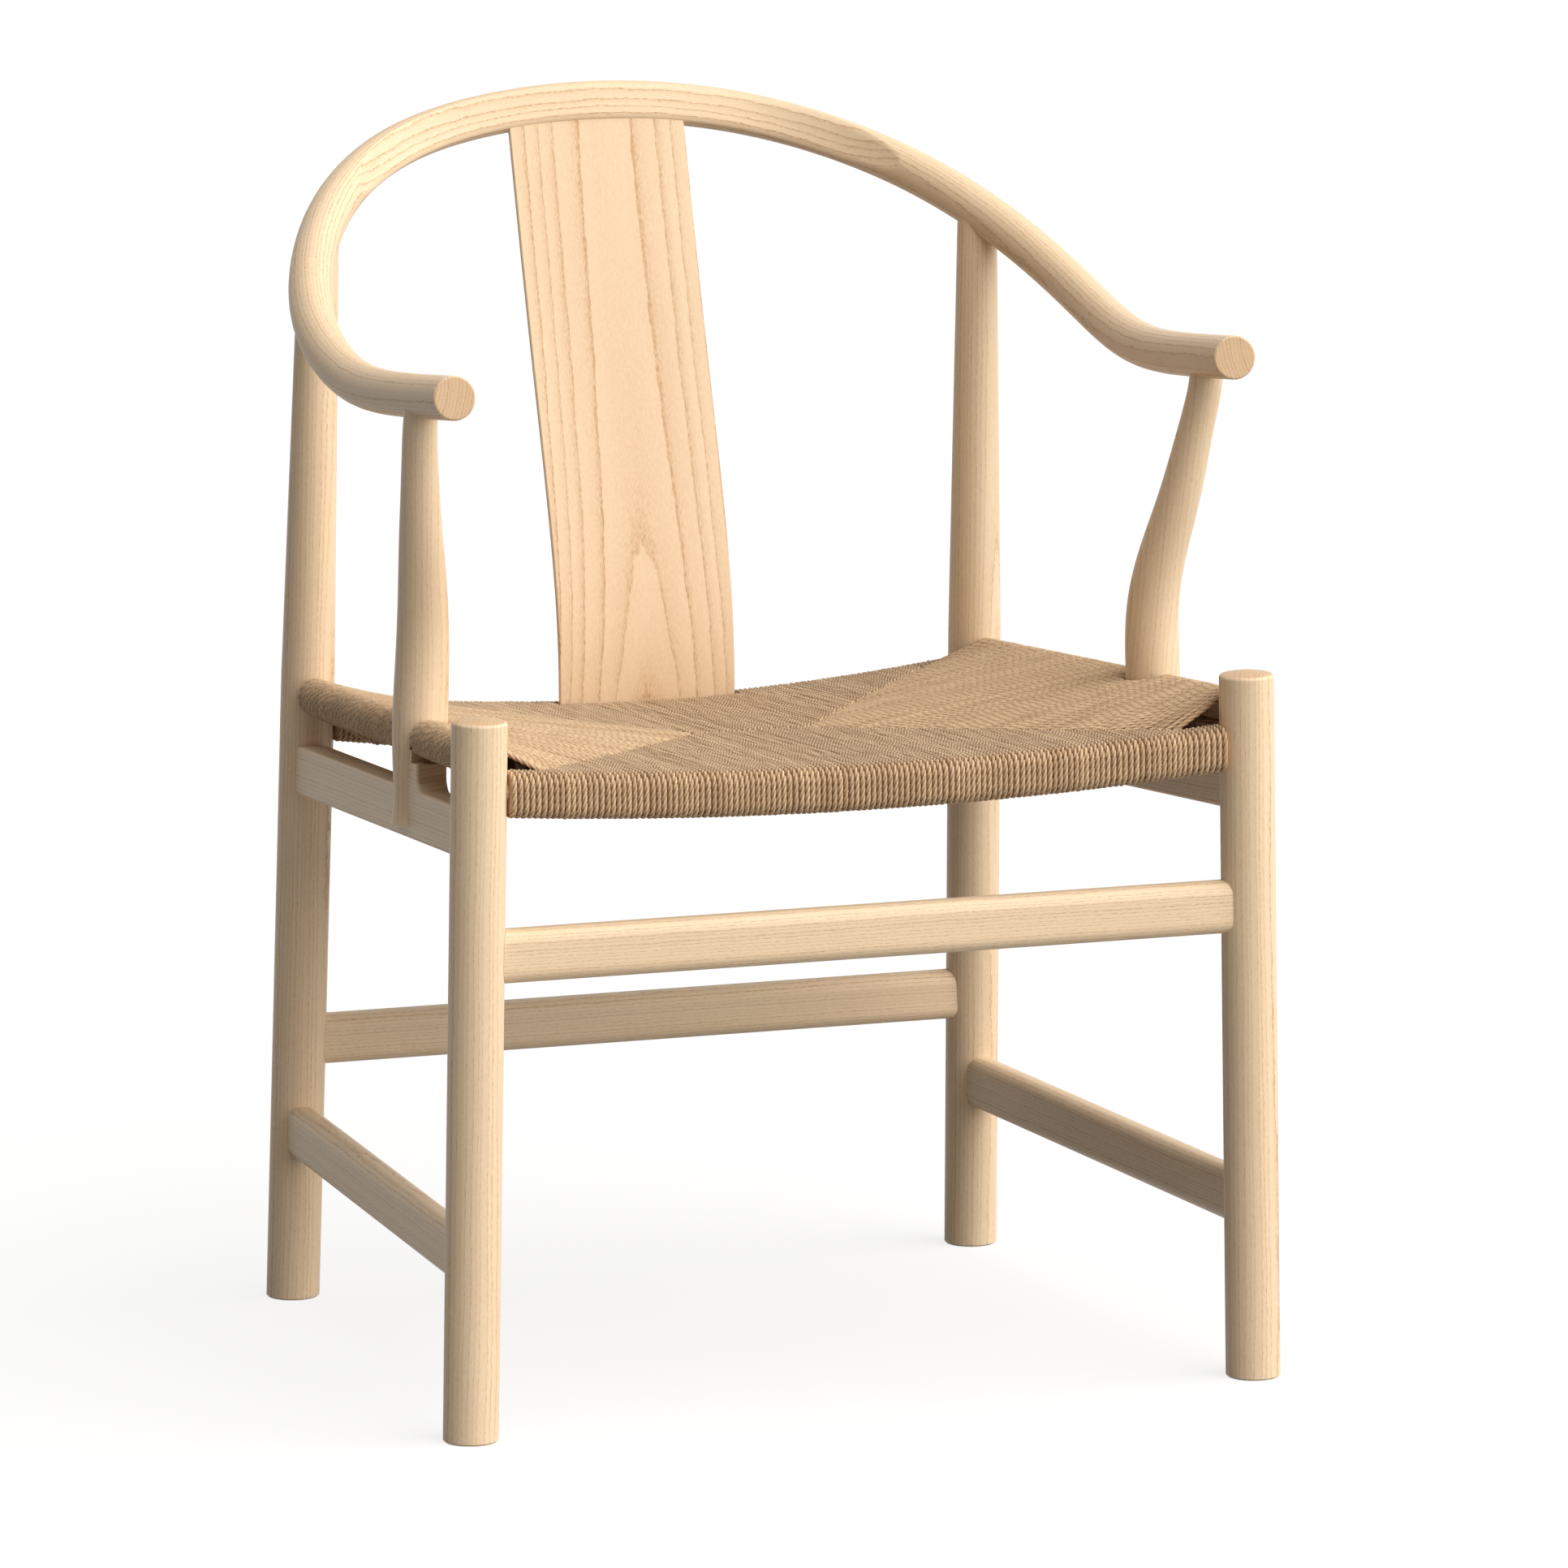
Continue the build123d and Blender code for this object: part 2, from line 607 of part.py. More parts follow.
with BuildPart() as side_apron:
    with BuildSketch(side_plane) as apron_outline:
        Polygon(
            (apron_front.X, apron_front.Y),
            (apron_rear.X, apron_rear.Y),
            (apron_rear.X, apron_top(apron_rear.X)),
            (block_back, apron_top(block_back)),
            (block_back, below_rail(block_back, block_seat)),
            (block_step, below_rail(block_step, block_seat)),
            (block_step, below_rail(block_step, block_drop)),
            (block_front, below_rail(block_front, block_drop)),
            (block_front, apron_top(block_front)),
            (apron_front.X, apron_top(apron_front.X)),
            align=None,
        )
        for corner_place in (block_front, block_back):
            corner = Vector(corner_place, apron_top(corner_place))
            fillet(apron_outline.vertices().sort_by_distance(corner)[0], block_foot_radius)
    extrude(amount=apron_thickness / 2, both=True)
    long_edges = side_apron.edges().filter_by(lambda edge: abs(edge.tangent_at(0.5).dot(outward)) < 0.5)
    board_edges = [
        edge
        for edge in long_edges
        if side_plane.to_local_coords(edge @ 0.5).Y < apron_top(side_plane.to_local_coords(edge @ 0.5).X) + 1
        and edge.length > 2 * apron_tall
    ]
    fillet(board_edges, apron_edge)
    add([front_scribe, rear_scribe], mode=Mode.SUBTRACT)
    add(peg(side_rail_front, side_rail_rear, side_rail_diameter + 2 * scribe_gap), mode=Mode.SUBTRACT)
    add(board_tenons(*apron_line, apron_tall, 0))
    add(dowel_hole(dowel_centres[1]), mode=Mode.SUBTRACT)
save_pair("side_apron", side_apron.part)

# Stretchers: flat oval bars at three heights
for name, end, tall, scribes in (
    ("front_stretcher", front_stretcher_end, front_stretcher_tall, front_scribes),
    ("rear_stretcher", rear_stretcher_end, rear_stretcher_tall, rear_scribes),
):
    with BuildPart() as stretcher:
        add(flat_bar(mirrored(end), end, stretcher_thickness, tall, stretcher_corner))
        add(scribes, mode=Mode.SUBTRACT)
        add(board_tenons(mirrored(end), end, tall, 0))
    save(name, stretcher.part)

with BuildPart() as side_stretcher:
    add(flat_bar(*side_stretcher_line, stretcher_thickness, side_stretcher_tall, stretcher_corner))
    add([front_scribe, rear_scribe], mode=Mode.SUBTRACT)
    add(board_tenons(*side_stretcher_line, side_stretcher_tall, 0))
save_pair("side_stretcher", side_stretcher.part)

# Back splat: a thin board bent on the flat, tenoned into the rear rail and the crest rail
rear_rail_scribe = dipped_bar(rear_rail_end, rear_rail_dip, scribe_gap)
with BuildPart() as back_splat:
    add(splat_board(splat_thickness, splat_width, splat_trim))
    add(rear_rail_scribe, mode=Mode.SUBTRACT)
    add(crest_scribe, mode=Mode.SUBTRACT)
    add(splat_board(splat_tenon_thickness, splat_tenon_width, splat_tenon_past))
save("back_splat", back_splat.part)

# Woven seat: the cord winds round all four rails and runs to diagonal seams, so the seat is a
# shallow saddle, highest along the sides. Each rail's strands are one piece up to the seams.
front_corner = Vector(front_rail_end.X - seat_corner_inset, front_rail_end.Y + seat_corner_setback)
rear_corner = Vector(rear_rail_end.X - seat_corner_inset, rear_rail_end.Y - seat_corner_setback)


def side_rail_at(y):
    """Point on the side rail's axis at a depth y."""
    return side_rail_front + side_rail_line * ((y - side_rail_front.Y) / side_rail_line.Y)


def between(low, high, share):
    """Value a share of the way from low to high."""
    return low + (high - low) * share


def seam_at(y, rail_end, dip, corner, face):
    """X and Z of the diagonal seam at a depth y; face is 1 on the top and -1 on the underside."""
    corner_z = rail_face(rail_end, dip, corner.X, face)
    apex_z = seat_middle_height + face * seat_middle_thickness / 2
    share = max(0, (y - corner.Y) / (seat_apex_y - corner.Y))
    return between(corner.X, seat_apex_half, share), between(corner_z, apex_z, share)


def rail_face(rail_end, dip, x, face):
    """Height at which the sheet of strands leaves a wrapped front or rear rail."""
    return rail_dip_at(rail_end, dip, x) + face * (seat_rail_tall / 2 + cord_wrap - strand_sink)


def strand_height(x, y, rail_end, dip, corner, face):
    """Height of the strands of a front or rear rail, which run straight back to the seam."""
    seam_share = min(1, (corner.X - x) / (corner.X - seat_apex_half))
    seam_y = between(corner.Y, seat_apex_y, seam_share)
    seam_z = seam_at(seam_y, rail_end, dip, corner, face)[1]
    return between(rail_face(rail_end, dip, x, face), seam_z, (y - rail_end.Y) / (seam_y - rail_end.Y))


def end_weave(leg_axis, rail_end, dip, corner):
    """Half of the strands that wrap the front or the rear rail."""
    apex_gap = cord_gap if corner.Y > seat_apex_y else -cord_gap
    sections = []
    for y in (rail_end.Y, corner.Y, (corner.Y + seat_apex_y) / 2, seat_apex_y + apex_gap):
        seam_x = seam_at(y, rail_end, dip, corner, 1)[0] - cord_gap
        half = []
        for face, places in ((1, (0, seam_x / 2, seam_x)), (-1, (seam_x, seam_x / 2, 0))):
            half += [Vector(x, y, strand_height(x, y, rail_end, dip, corner, face)) for x in places]
        sections.append(Face(Wire.make_polygon(half)))
    with BuildPart() as weave:
        loft(sections, ruled=True)
        add(dipped_bar(rail_end, dip, cord_wrap))
        add(dipped_bar(rail_end, dip, cord_gap), mode=Mode.SUBTRACT)
        split(bisect_by=shoulder_plane(leg_axis, rail_end.Z, cord_gap), keep=Keep.TOP)
        add([tack(place, cord_gap) for place in tack_places], mode=Mode.SUBTRACT)
        add(splat_clear, mode=Mode.SUBTRACT)
        split(bisect_by=Plane.YZ, keep=Keep.TOP)
    return weave.part


def side_weave_section(y):
    """Section at a depth y of the strands that wrap the side rail."""
    ends = (front_rail_end, front_rail_dip, front_corner)
    if y > seat_apex_y:
        ends = (rear_rail_end, rear_rail_dip, rear_corner)
    side = side_rail_at(y)
    crown = side_rail_diameter / 2 + cord_wrap - strand_sink
    top_x, top_z = seam_at(y, *ends, 1)
    under_x, under_z = seam_at(y, *ends, -1)
    outline = [
        Vector(top_x + cord_gap, y, top_z),
        Vector(side.X, y, side.Z + crown),
        Vector(side.X, y, side.Z - crown),
        Vector(under_x + cord_gap, y, under_z),
    ]
    return Face(Wire.make_polygon(outline))


splat_clear = splat_board(splat_thickness + 2 * cord_gap, splat_width + 2 * cord_gap, splat_trim)
front_half = end_weave(front_axis, front_rail_end, front_rail_dip, front_corner)
rear_half = end_weave(rear_axis, rear_rail_end, rear_rail_dip, rear_corner)
save("front_weave", with_mirror_image(front_half))
save("rear_weave", with_mirror_image(rear_half))

side_depths = [
    front_corner.Y,
    (front_corner.Y + seat_apex_y) / 2,
    seat_apex_y,
    (seat_apex_y + rear_corner.Y) / 2,
    rear_corner.Y,
]
leg_clear = leg_diameter + 2 * cord_gap
rear_seat_top = rear_axis(rear_leg_taper_start + leg_diameter)
post_notch = post_diameter / 2 + cord_gap
notch_bottom = side_plane.to_local_coords(post_root).Y - side_rail_diameter
with BuildPart() as side_weave:
    loft([side_weave_section(y) for y in side_depths], ruled=True)
    add(peg(side_rail_front, side_rail_rear, side_rail_diameter + 2 * cord_wrap))
    with BuildSketch(side_plane.offset(post_notch)):
        with Locations((saddle_local.X, notch_bottom)):
            Rectangle(2 * post_notch, seat_notch_tall, align=(Align.CENTER, Align.MIN))
    extrude(amount=-2 * post_notch, mode=Mode.SUBTRACT)
    add(peg(front_axis(0), front_leg_top, leg_clear), mode=Mode.SUBTRACT)
    add(peg(rear_axis(0), rear_seat_top, leg_clear), mode=Mode.SUBTRACT)
    add(peg(side_rail_front, side_rail_rear, side_rail_diameter + 2 * cord_gap), mode=Mode.SUBTRACT)
    add([tack(place, cord_gap) for place in tack_places], mode=Mode.SUBTRACT)
save_pair("side_weave", side_weave.part)

# Tacks that hold the cord's ends
with BuildPart() as cord_tacks:
    for place in tack_places:
        add(tack(place, 0))
    mirror(about=Plane.YZ)
save("cord_tacks", cord_tacks.part)

# Dowels that pin the posts' laps
with BuildPart() as post_dowels:
    for centre in dowel_centres:
        add(post_dowel(centre, dowel_diameter, 0))
    mirror(about=Plane.YZ)
save("post_dowels", post_dowels.part)
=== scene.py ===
import bmesh
import bpy
import numpy as np
from math import atan2, cos, pi, radians, sin, sqrt
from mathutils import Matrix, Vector
from types import SimpleNamespace


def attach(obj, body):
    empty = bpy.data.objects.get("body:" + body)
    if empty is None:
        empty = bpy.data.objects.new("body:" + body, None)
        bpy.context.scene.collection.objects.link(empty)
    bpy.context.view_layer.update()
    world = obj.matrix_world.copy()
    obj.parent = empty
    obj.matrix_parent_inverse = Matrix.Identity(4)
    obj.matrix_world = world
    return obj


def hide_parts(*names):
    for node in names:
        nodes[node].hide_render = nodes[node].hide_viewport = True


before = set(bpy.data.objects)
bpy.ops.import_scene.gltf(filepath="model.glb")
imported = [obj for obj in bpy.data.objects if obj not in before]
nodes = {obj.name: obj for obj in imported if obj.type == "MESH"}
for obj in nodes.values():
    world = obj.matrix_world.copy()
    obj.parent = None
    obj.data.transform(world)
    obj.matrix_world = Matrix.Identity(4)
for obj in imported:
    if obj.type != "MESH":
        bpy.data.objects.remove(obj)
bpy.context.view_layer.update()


# ---- Front legs -------------------------------------------------------------------------------
# Turned ash posts that stop just above the seat in a shallow dome. Pale soaped ash with close,
# straight growth rings that run from the foot to the top.
leg_diameter = 0.035
front_foot = (0.264, -0.2575, 0.0)
front_top = (0.2560, -0.2575, 0.457)
pale_wood = (0.870, 0.680, 0.465, 1.0)
ring_wood = (0.590, 0.350, 0.170, 1.0)
pore_wood = (0.34, 0.19, 0.09, 1.0)
end_grain_shade = (0.78, 0.70, 0.62, 1.0)
ring_ragged = 0.0013  # how far the edge of a ring strays, coarsely and finely
ring_frayed = 0.0005
# one year's ring, from the open pores of spring to the dense wood of autumn: place and darkness
ring_shades = ((0.03, 1.0), (0.09, 0.80), (0.17, 0.34), (0.40, 0.10), (0.80, 0.0))


def wire(tree, kind, x, y, **values):
    """A shader or geometry node with its settings and the values or links of its inputs.

    An input is given by its number or by its name, as in_0 or in_Length.
    """
    node = tree.nodes.new(kind)
    node.location = (x, y)
    for key, value in values.items():
        if key.startswith("in_"):
            which = key[3:]
            socket = node.inputs[int(which) if which.isdigit() else which]
            if isinstance(value, bpy.types.NodeSocket):
                tree.links.new(value, socket)
            else:
                socket.default_value = value
        else:
            setattr(node, key, value)
    return node


def add_sockets(group, way, *sockets):
    """Named inputs or outputs of a node group."""
    for socket, kind in sockets:
        group.interface.new_socket(socket, in_out=way, socket_type="NodeSocket" + kind)


def ash_figure():
    """Node group: colour, height and roughness of ash at a place in the straight plank.

    The place's X and Y lie across the plank and its Z runs along the grain, in metres. The
    heart of the tree is at the origin.
    """
    group = bpy.data.node_groups.new("ash figure", "ShaderNodeTree")
    add_sockets(group, "INPUT", ("Place", "Vector"), ("Ring Width", "Float"), ("Wander", "Float"),
                ("Boldness", "Float"), ("Warmth", "Float"))
    add_sockets(group, "OUTPUT", ("Color", "Color"), ("Height", "Float"), ("Roughness", "Float"))
    place, ring_width, wander, boldness, warmth = wire(group, "NodeGroupInput", -1600, 0).outputs[:5]

    def noise(y, stretch, scale, detail=1.0):
        """Noise drawn out along the grain, from 0 to 1."""
        drawn = wire(group, "ShaderNodeVectorMath", -1400, y, operation="MULTIPLY",
                     in_0=place, in_1=(1, 1, stretch))
        return wire(group, "ShaderNodeTexNoise", -1200, y,
                    in_0=drawn.outputs[0], in_2=scale, in_3=detail).outputs[0]

    def by_year(y, years, scale):
        """Noise that changes from one year's ring to the next."""
        return wire(group, "ShaderNodeTexNoise", 340, y, noise_dimensions="1D",
                    in_1=years, in_2=scale, in_3=1.0).outputs[0]

    def spread(y, value, low, high, most=1.0):
        """A value between low and high, spread from 0 to most."""
        return wire(group, "ShaderNodeMapRange", 340, y,
                    in_0=value, in_1=low, in_2=high, in_4=most).outputs[0]

    def math(x, y, operation, first, second=0.0, third=0.0, clamp=False):
        """One step of arithmetic."""
        return wire(group, "ShaderNodeMath", x, y, operation=operation, use_clamp=clamp,
                    in_0=first, in_1=second, in_2=third).outputs[0]

    # distance from the heart: the rings wander on their way up the tree and their edges are ragged
    across = wire(group, "ShaderNodeSeparateXYZ", -1200, -300, in_0=place)
    square_x = math(-1000, -300, "MULTIPLY", across.outputs[0], across.outputs[0])
    square_sum = math(-840, -300, "MULTIPLY_ADD", across.outputs[1], across.outputs[1], square_x)
    radius = math(-680, -300, "SQRT", square_sum)
    drift = math(-1000, 300, "SUBTRACT", noise(300, 0.16, 26.0, 2.0), 0.5)
    moved = math(-800, 300, "MULTIPLY_ADD", drift, wander, radius)
    ragged = math(-640, 150, "MULTIPLY_ADD", noise(150, 0.30, 240.0, 2.0), ring_ragged, moved)
    frayed = math(-480, 0, "MULTIPLY_ADD", noise(0, 0.30, 1100.0), ring_frayed, ragged)
    years = math(-320, 0, "DIVIDE", frayed, ring_width)

    # one year: pores open in a sharp dark line, then the wood closes and grows pale
    year = math(20, 100, "MULTIPLY_ADD", by_year(260, years, 0.7), 0.7, years)
    line = wire(group, "ShaderNodeValToRGB", 340, 0, in_0=math(180, 0, "FRACT", year))
    ramp = line.color_ramp
    for element, position in zip(ramp.elements, (0.0, 1.0)):
        element.position = position
        element.color = (0.03, 0.03, 0.03, 1)
    for position, level in ring_shades:
        ramp.elements.new(position).color = (level, level, level, 1)
    year_bold = math(520, 260, "MULTIPLY_ADD", by_year(400, year, 0.9), 1.3, -0.05)

    # thin pores, a few millimetres long, that break the dark line up
    pore = spread(-600, noise(-600, 0.20, 1500.0, 2.0), 0.42, 0.66)
    broken = math(620, -100, "MULTIPLY_ADD", pore, 0.65, 0.45)
    bolder = math(620, 260, "MULTIPLY", year_bold, boldness)
    bold_line = math(620, 100, "MULTIPLY", line.outputs[0], bolder)
    dark = math(780, 0, "MULTIPLY", bold_line, broken, clamp=True)

    # broad warm zones of the plank and a fine fleck over all of it
    zone = spread(520, noise(520, 0.12, 30.0, 2.0), 0.35, 0.70, 0.13)
    fleck = spread(760, noise(760, 0.35, 1000.0, 3.0), 0.35, 0.70, 0.16)
    warm = math(780, 520, "ADD", math(620, 520, "ADD", zone, fleck), warmth)
    tint = math(940, 120, "ADD", dark, warm, clamp=True)
    wood = wire(group, "ShaderNodeMix", 1100, 120, data_type="RGBA",
                in_0=tint, in_6=pale_wood, in_7=ring_wood)
    pore_line = math(780, -200, "MULTIPLY", pore, bold_line)
    pore_dark = math(940, -200, "MULTIPLY", pore_line, 0.40, clamp=True)
    open_pore = wire(group, "ShaderNodeMix", 1260, 60, data_type="RGBA",
                     in_0=pore_dark, in_6=wood.outputs[2], in_7=pore_wood)
    height = math(1100, -300, "MULTIPLY_ADD", pore_dark, -3.0, fleck)
    rough = math(1100, -140, "MULTIPLY_ADD", dark, 0.15, 0.46)
    wire(group, "NodeGroupOutput", 1460, 0, in_0=open_pore.outputs[2], in_1=height, in_2=rough)
    return group


figure = ash_figure()


def new_material(name):
    """An empty material and its node tree."""
    material = bpy.data.materials.new(name)
    material.use_nodes = True
    material.node_tree.nodes.clear()
    return material, material.node_tree


def ash(name, start, end, heart, ring_width=0.0026, wander=0.005, boldness=1.1, warmth=0.0, bent=False):
    """Ash whose grain runs from start to end of a piece.

    heart is where the heart of the tree lies from the piece's own middle line: sideways and
    forwards. A bent piece carries its place in the straight plank, and where its end grain
    shows, in its own attributes. boldness is for the rings and warmth for the plank's shade.
    """
    material, tree = new_material(name)
    if bent:
        local = wire(tree, "ShaderNodeAttribute", -1000, 0, attribute_name="plank_place").outputs[1]
        end_grain = wire(tree, "ShaderNodeAttribute", -400, -300, attribute_name="end_grain").outputs[2]
    else:
        along = (Vector(end) - Vector(start)).normalized()
        side = along.cross(Vector((0, 0, 1)) if abs(along.z) < 0.9 else Vector((0, 1, 0))).normalized()
        here = wire(tree, "ShaderNodeTexCoord", -1400, 0).outputs[3]
        from_start = wire(tree, "ShaderNodeVectorMath", -1220, 0, operation="SUBTRACT",
                          in_0=here, in_1=Vector(start))
        local = wire(tree, "ShaderNodeCombineXYZ", -860, 0)
        for i, axis in enumerate((side, along.cross(side), along)):
            part = wire(tree, "ShaderNodeVectorMath", -1040, 160 * i, operation="DOT_PRODUCT",
                        in_0=from_start.outputs[0], in_1=axis)
            tree.links.new(part.outputs[1], local.inputs[i])
        local = local.outputs[0]
        facing = wire(tree, "ShaderNodeNewGeometry", -1040, -300).outputs[1]
        lengthways = wire(tree, "ShaderNodeVectorMath", -860, -300, operation="DOT_PRODUCT",
                          in_0=facing, in_1=along)
        cut_across = wire(tree, "ShaderNodeMath", -680, -300, operation="ABSOLUTE",
                          in_0=lengthways.outputs[1])
        end_grain = wire(tree, "ShaderNodeMapRange", -500, -300,
                         in_0=cut_across.outputs[0], in_1=0.80, in_2=0.95).outputs[0]
    place = wire(tree, "ShaderNodeVectorMath", -540, 0, operation="SUBTRACT",
                 in_0=local, in_1=Vector((heart[0], heart[1], 0)))
    wood = wire(tree, "ShaderNodeGroup", -300, 0, node_tree=figure, in_0=place.outputs[0],
                in_1=ring_width, in_2=wander, in_3=boldness, in_4=warmth)
    soaked = wire(tree, "ShaderNodeMix", -80, 100, data_type="RGBA", blend_type="MULTIPLY",
                  in_0=end_grain, in_6=wood.outputs[0], in_7=end_grain_shade)
    bump = wire(tree, "ShaderNodeBump", 160, -200, in_0=0.25, in_1=0.0004, in_3=wood.outputs[1])
    shader = wire(tree, "ShaderNodeBsdfPrincipled", 360, 0,
                  in_0=soaked.outputs[2], in_2=wood.outputs[2], in_Normal=bump.outputs[0])
    shader.inputs["Specular IOR Level"].default_value = 0.38
    wire(tree, "ShaderNodeOutputMaterial", 660, 0, in_0=shader.outputs[0])
    return material


def finish_with(name, material):
    """Give a fixed piece its material."""
    node = nodes[name]
    node.data.materials.clear()
    node.data.materials.append(material)


def finish_in_ash(name, *grain, **looks):
    """Give a fixed piece ash of its own."""
    finish_with(name, ash("ash " + name.replace("_", " "), *grain, **looks))


def on_side(turn, place):
    """A place on the right, or its mirror image on the left where turn is -1."""
    return Vector((turn * place[0], place[1], place[2]))


for name, turn, heart in (
    ("front_leg_left", -1, (-0.060, 0.040)),
    ("front_leg_right", 1, (-0.055, 0.042)),
):
    finish_in_ash(name, on_side(turn, front_foot), on_side(turn, front_top), heart, 0.0032, 0.006,
                  boldness=0.95)

# ---- Rear legs --------------------------------------------------------------------------------
# One long ash post each, round up to the seat and then tapered up to the crest rail, where its
# end is scribed to the rail and tenoned into it.
rear_foot = (0.2392, 0.1795, 0.0)
rear_top = (0.2281, 0.1435, 0.704)
for name, turn, heart in (
    ("rear_leg_left", -1, (-0.050, 0.042)),
    ("rear_leg_right", 1, (-0.046, 0.055)),
):
    finish_in_ash(name, on_side(turn, rear_foot), on_side(turn, rear_top), heart, 0.0029, 0.006,
                  boldness=0.95)

# ---- Stretchers -------------------------------------------------------------------------------
# Flat oval bars with tenons in the legs: the front one high, the rear one lower and the side
# ones lowest. Quarter-sawn, so the rings show as close straight lines on their faces.
for name, start, end, heart in (
    ("front_stretcher", (-0.2586, -0.2575, 0.3065), (0.2586, -0.2575, 0.3065), (0.012, 0.125)),
    ("rear_stretcher", (-0.2365, 0.1707, 0.173), (0.2365, 0.1707, 0.173), (0.016, -0.110)),
    ("side_stretcher_left", (-0.262, -0.2575, 0.1138), (-0.2374, 0.1737, 0.1138), (0.014, 0.100)),
    ("side_stretcher_right", (0.262, -0.2575, 0.1138), (0.2374, 0.1737, 0.1138), (-0.015, 0.105)),
):
    finish_in_ash(name, start, end, heart, 0.0023, 0.004, boldness=1.3)

# ---- Side aprons ------------------------------------------------------------------------------
# A board under each side rail, sawn with a raised block that carries the arm post.
apron_front = (0.2573, -0.2575, 0.384)
apron_rear = (0.2336, 0.1613, 0.356)
for name, turn, heart in (
    ("side_apron_left", -1, (0.020, 0.120)),
    ("side_apron_right", 1, (-0.018, 0.115)),
):
    finish_in_ash(name, on_side(turn, apron_front), on_side(turn, apron_rear), heart, 0.0026, 0.005)

# ---- Seat rails -------------------------------------------------------------------------------
# The rails under the cord: bowed flat bars at the front and back, round rods at the sides.
for name, start, end in (
    ("front_seat_rail", (-0.2568, -0.2575, 0.4102), (0.2568, -0.2575, 0.4102)),
    ("rear_seat_rail", (-0.2331, 0.1595, 0.3902), (0.2331, 0.1595, 0.3902)),
    ("side_seat_rail_left", (-0.2564, -0.2575, 0.432), (-0.2328, 0.1588, 0.4046)),
    ("side_seat_rail_right", (0.2564, -0.2575, 0.432), (0.2328, 0.1588, 0.4046)),
):
    finish_in_ash(name, start, end, (0.03, 0.09), 0.0030)

# ---- Arm posts --------------------------------------------------------------------------------
# S-curved and tapered, sawn from the plank, so the grain runs straight up and breaks out at the
# curve. The outer half laps down over the seat rail and the apron, pinned with two dowels.
post_foot = (0.2486, -0.1187, 0.368)
post_top = (0.2580, -0.1560, 0.646)
post_radius = 0.0175
for name, turn, heart in (
    ("arm_post_left", -1, (-0.066, 0.034)),
    ("arm_post_right", 1, (-0.075, 0.026)),
):
    finish_in_ash(name, on_side(turn, post_foot), on_side(turn, post_top), heart, 0.0033, 0.007,
                  boldness=0.75)
finish_in_ash("post_dowels", (-0.26, -0.118, 0.4), (0.26, -0.118, 0.4), (0.01, 0.02), 0.0025)

# ---- Back splat -------------------------------------------------------------------------------
# A thin board of flat-sawn ash bent on the flat, tenoned into the rear rail and the crest rail,
# with its back edges bevelled thin. The rings close in one tall arch low on the board.
splat_half_width = 0.061
splat_thickness = 0.0088
splat_edge = 0.0030  # thickness left at the sides
splat_bevel = 0.016
splat_ease = 0.0007
splat_ring = 0.0076
splat_slope = 0.012  # sideways run of the grain along the board
splat_rings, splat_columns = 90, 13
# height and depth of the board's middle, and how far the heart of the tree lies behind it
splat_points = [
    (0.3693, 0.1561, 0.0300), (0.4303, 0.1582, 0.0345), (0.5003, 0.1731, 0.0378),
    (0.6003, 0.2057, 0.0400), (0.7617, 0.2560, 0.0415),
]


def smooth_line(points, count):
    """Evenly spaced places and directions on the smooth line through some points."""
    points = np.array(points, float)
    knots = np.concatenate([[0], np.cumsum(np.linalg.norm(np.diff(points, axis=0), axis=1))])
    gaps = np.diff(knots)
    size = len(points)
    # second derivatives of the natural cubic through the points
    matrix = np.zeros((size, size))
    right = np.zeros((size, 3))
    matrix[0, 0] = matrix[-1, -1] = 1.0
    for i in range(1, size - 1):
        matrix[i, i - 1:i + 2] = gaps[i - 1], 2 * (gaps[i - 1] + gaps[i]), gaps[i]
        rise = (points[i + 1] - points[i]) / gaps[i]
        right[i] = 6 * (rise - (points[i] - points[i - 1]) / gaps[i - 1])
    bend = np.linalg.solve(matrix, right)

    def at(t):
        """Places on the line at some distances along its knots."""
        i = np.clip(np.searchsorted(knots, t) - 1, 0, size - 2)
        h = gaps[i][:, None]
        a = ((knots[i + 1] - t) / gaps[i])[:, None]
        b = 1 - a
        bow = ((a**3 - a) * bend[i] + (b**3 - b) * bend[i + 1]) * h**2 / 6
        return a * points[i] + b * points[i + 1] + bow

    fine_count = 4000
    fine = at(np.linspace(0, knots[-1], fine_count))
    run = np.concatenate([[0], np.cumsum(np.linalg.norm(np.diff(fine, axis=0), axis=1))])
    even = np.linspace(0, run[-1], count)
    places = np.stack([np.interp(even, run, fine[:, k]) for k in range(3)], axis=1)
    ahead = np.gradient(places, axis=0)
    return places, ahead / np.linalg.norm(ahead, axis=1)[:, None], even


def mesh_piece(name, verts, faces, smooth=True):
    """Mesh object at the origin."""
    mesh = bpy.data.meshes.new(name)
    mesh.from_pydata([tuple(v) for v in verts], [], faces)
    mesh.polygons.foreach_set("use_smooth", [smooth] * len(mesh.polygons))
    mesh.update()
    piece = bpy.data.objects.new(name, mesh)
    bpy.context.scene.collection.objects.link(piece)
    return piece


def mark(piece, name, kind, values):
    """Keep one value for each point of a piece."""
    attribute = piece.data.attributes.new(name, kind, "POINT")
    field = "vector" if kind == "FLOAT_VECTOR" else "value"
    attribute.data.foreach_set(field, np.array(values, float).ravel())


def rings_joined(firsts, around):
    """Faces between rings of points, given the first point of each ring."""
    faces = []
    for low, high in zip(firsts, firsts[1:]):
        for k in range(around):
            n = (k + 1) % around
            faces.append((low + k, low + n, high + n, high + k))
    return faces


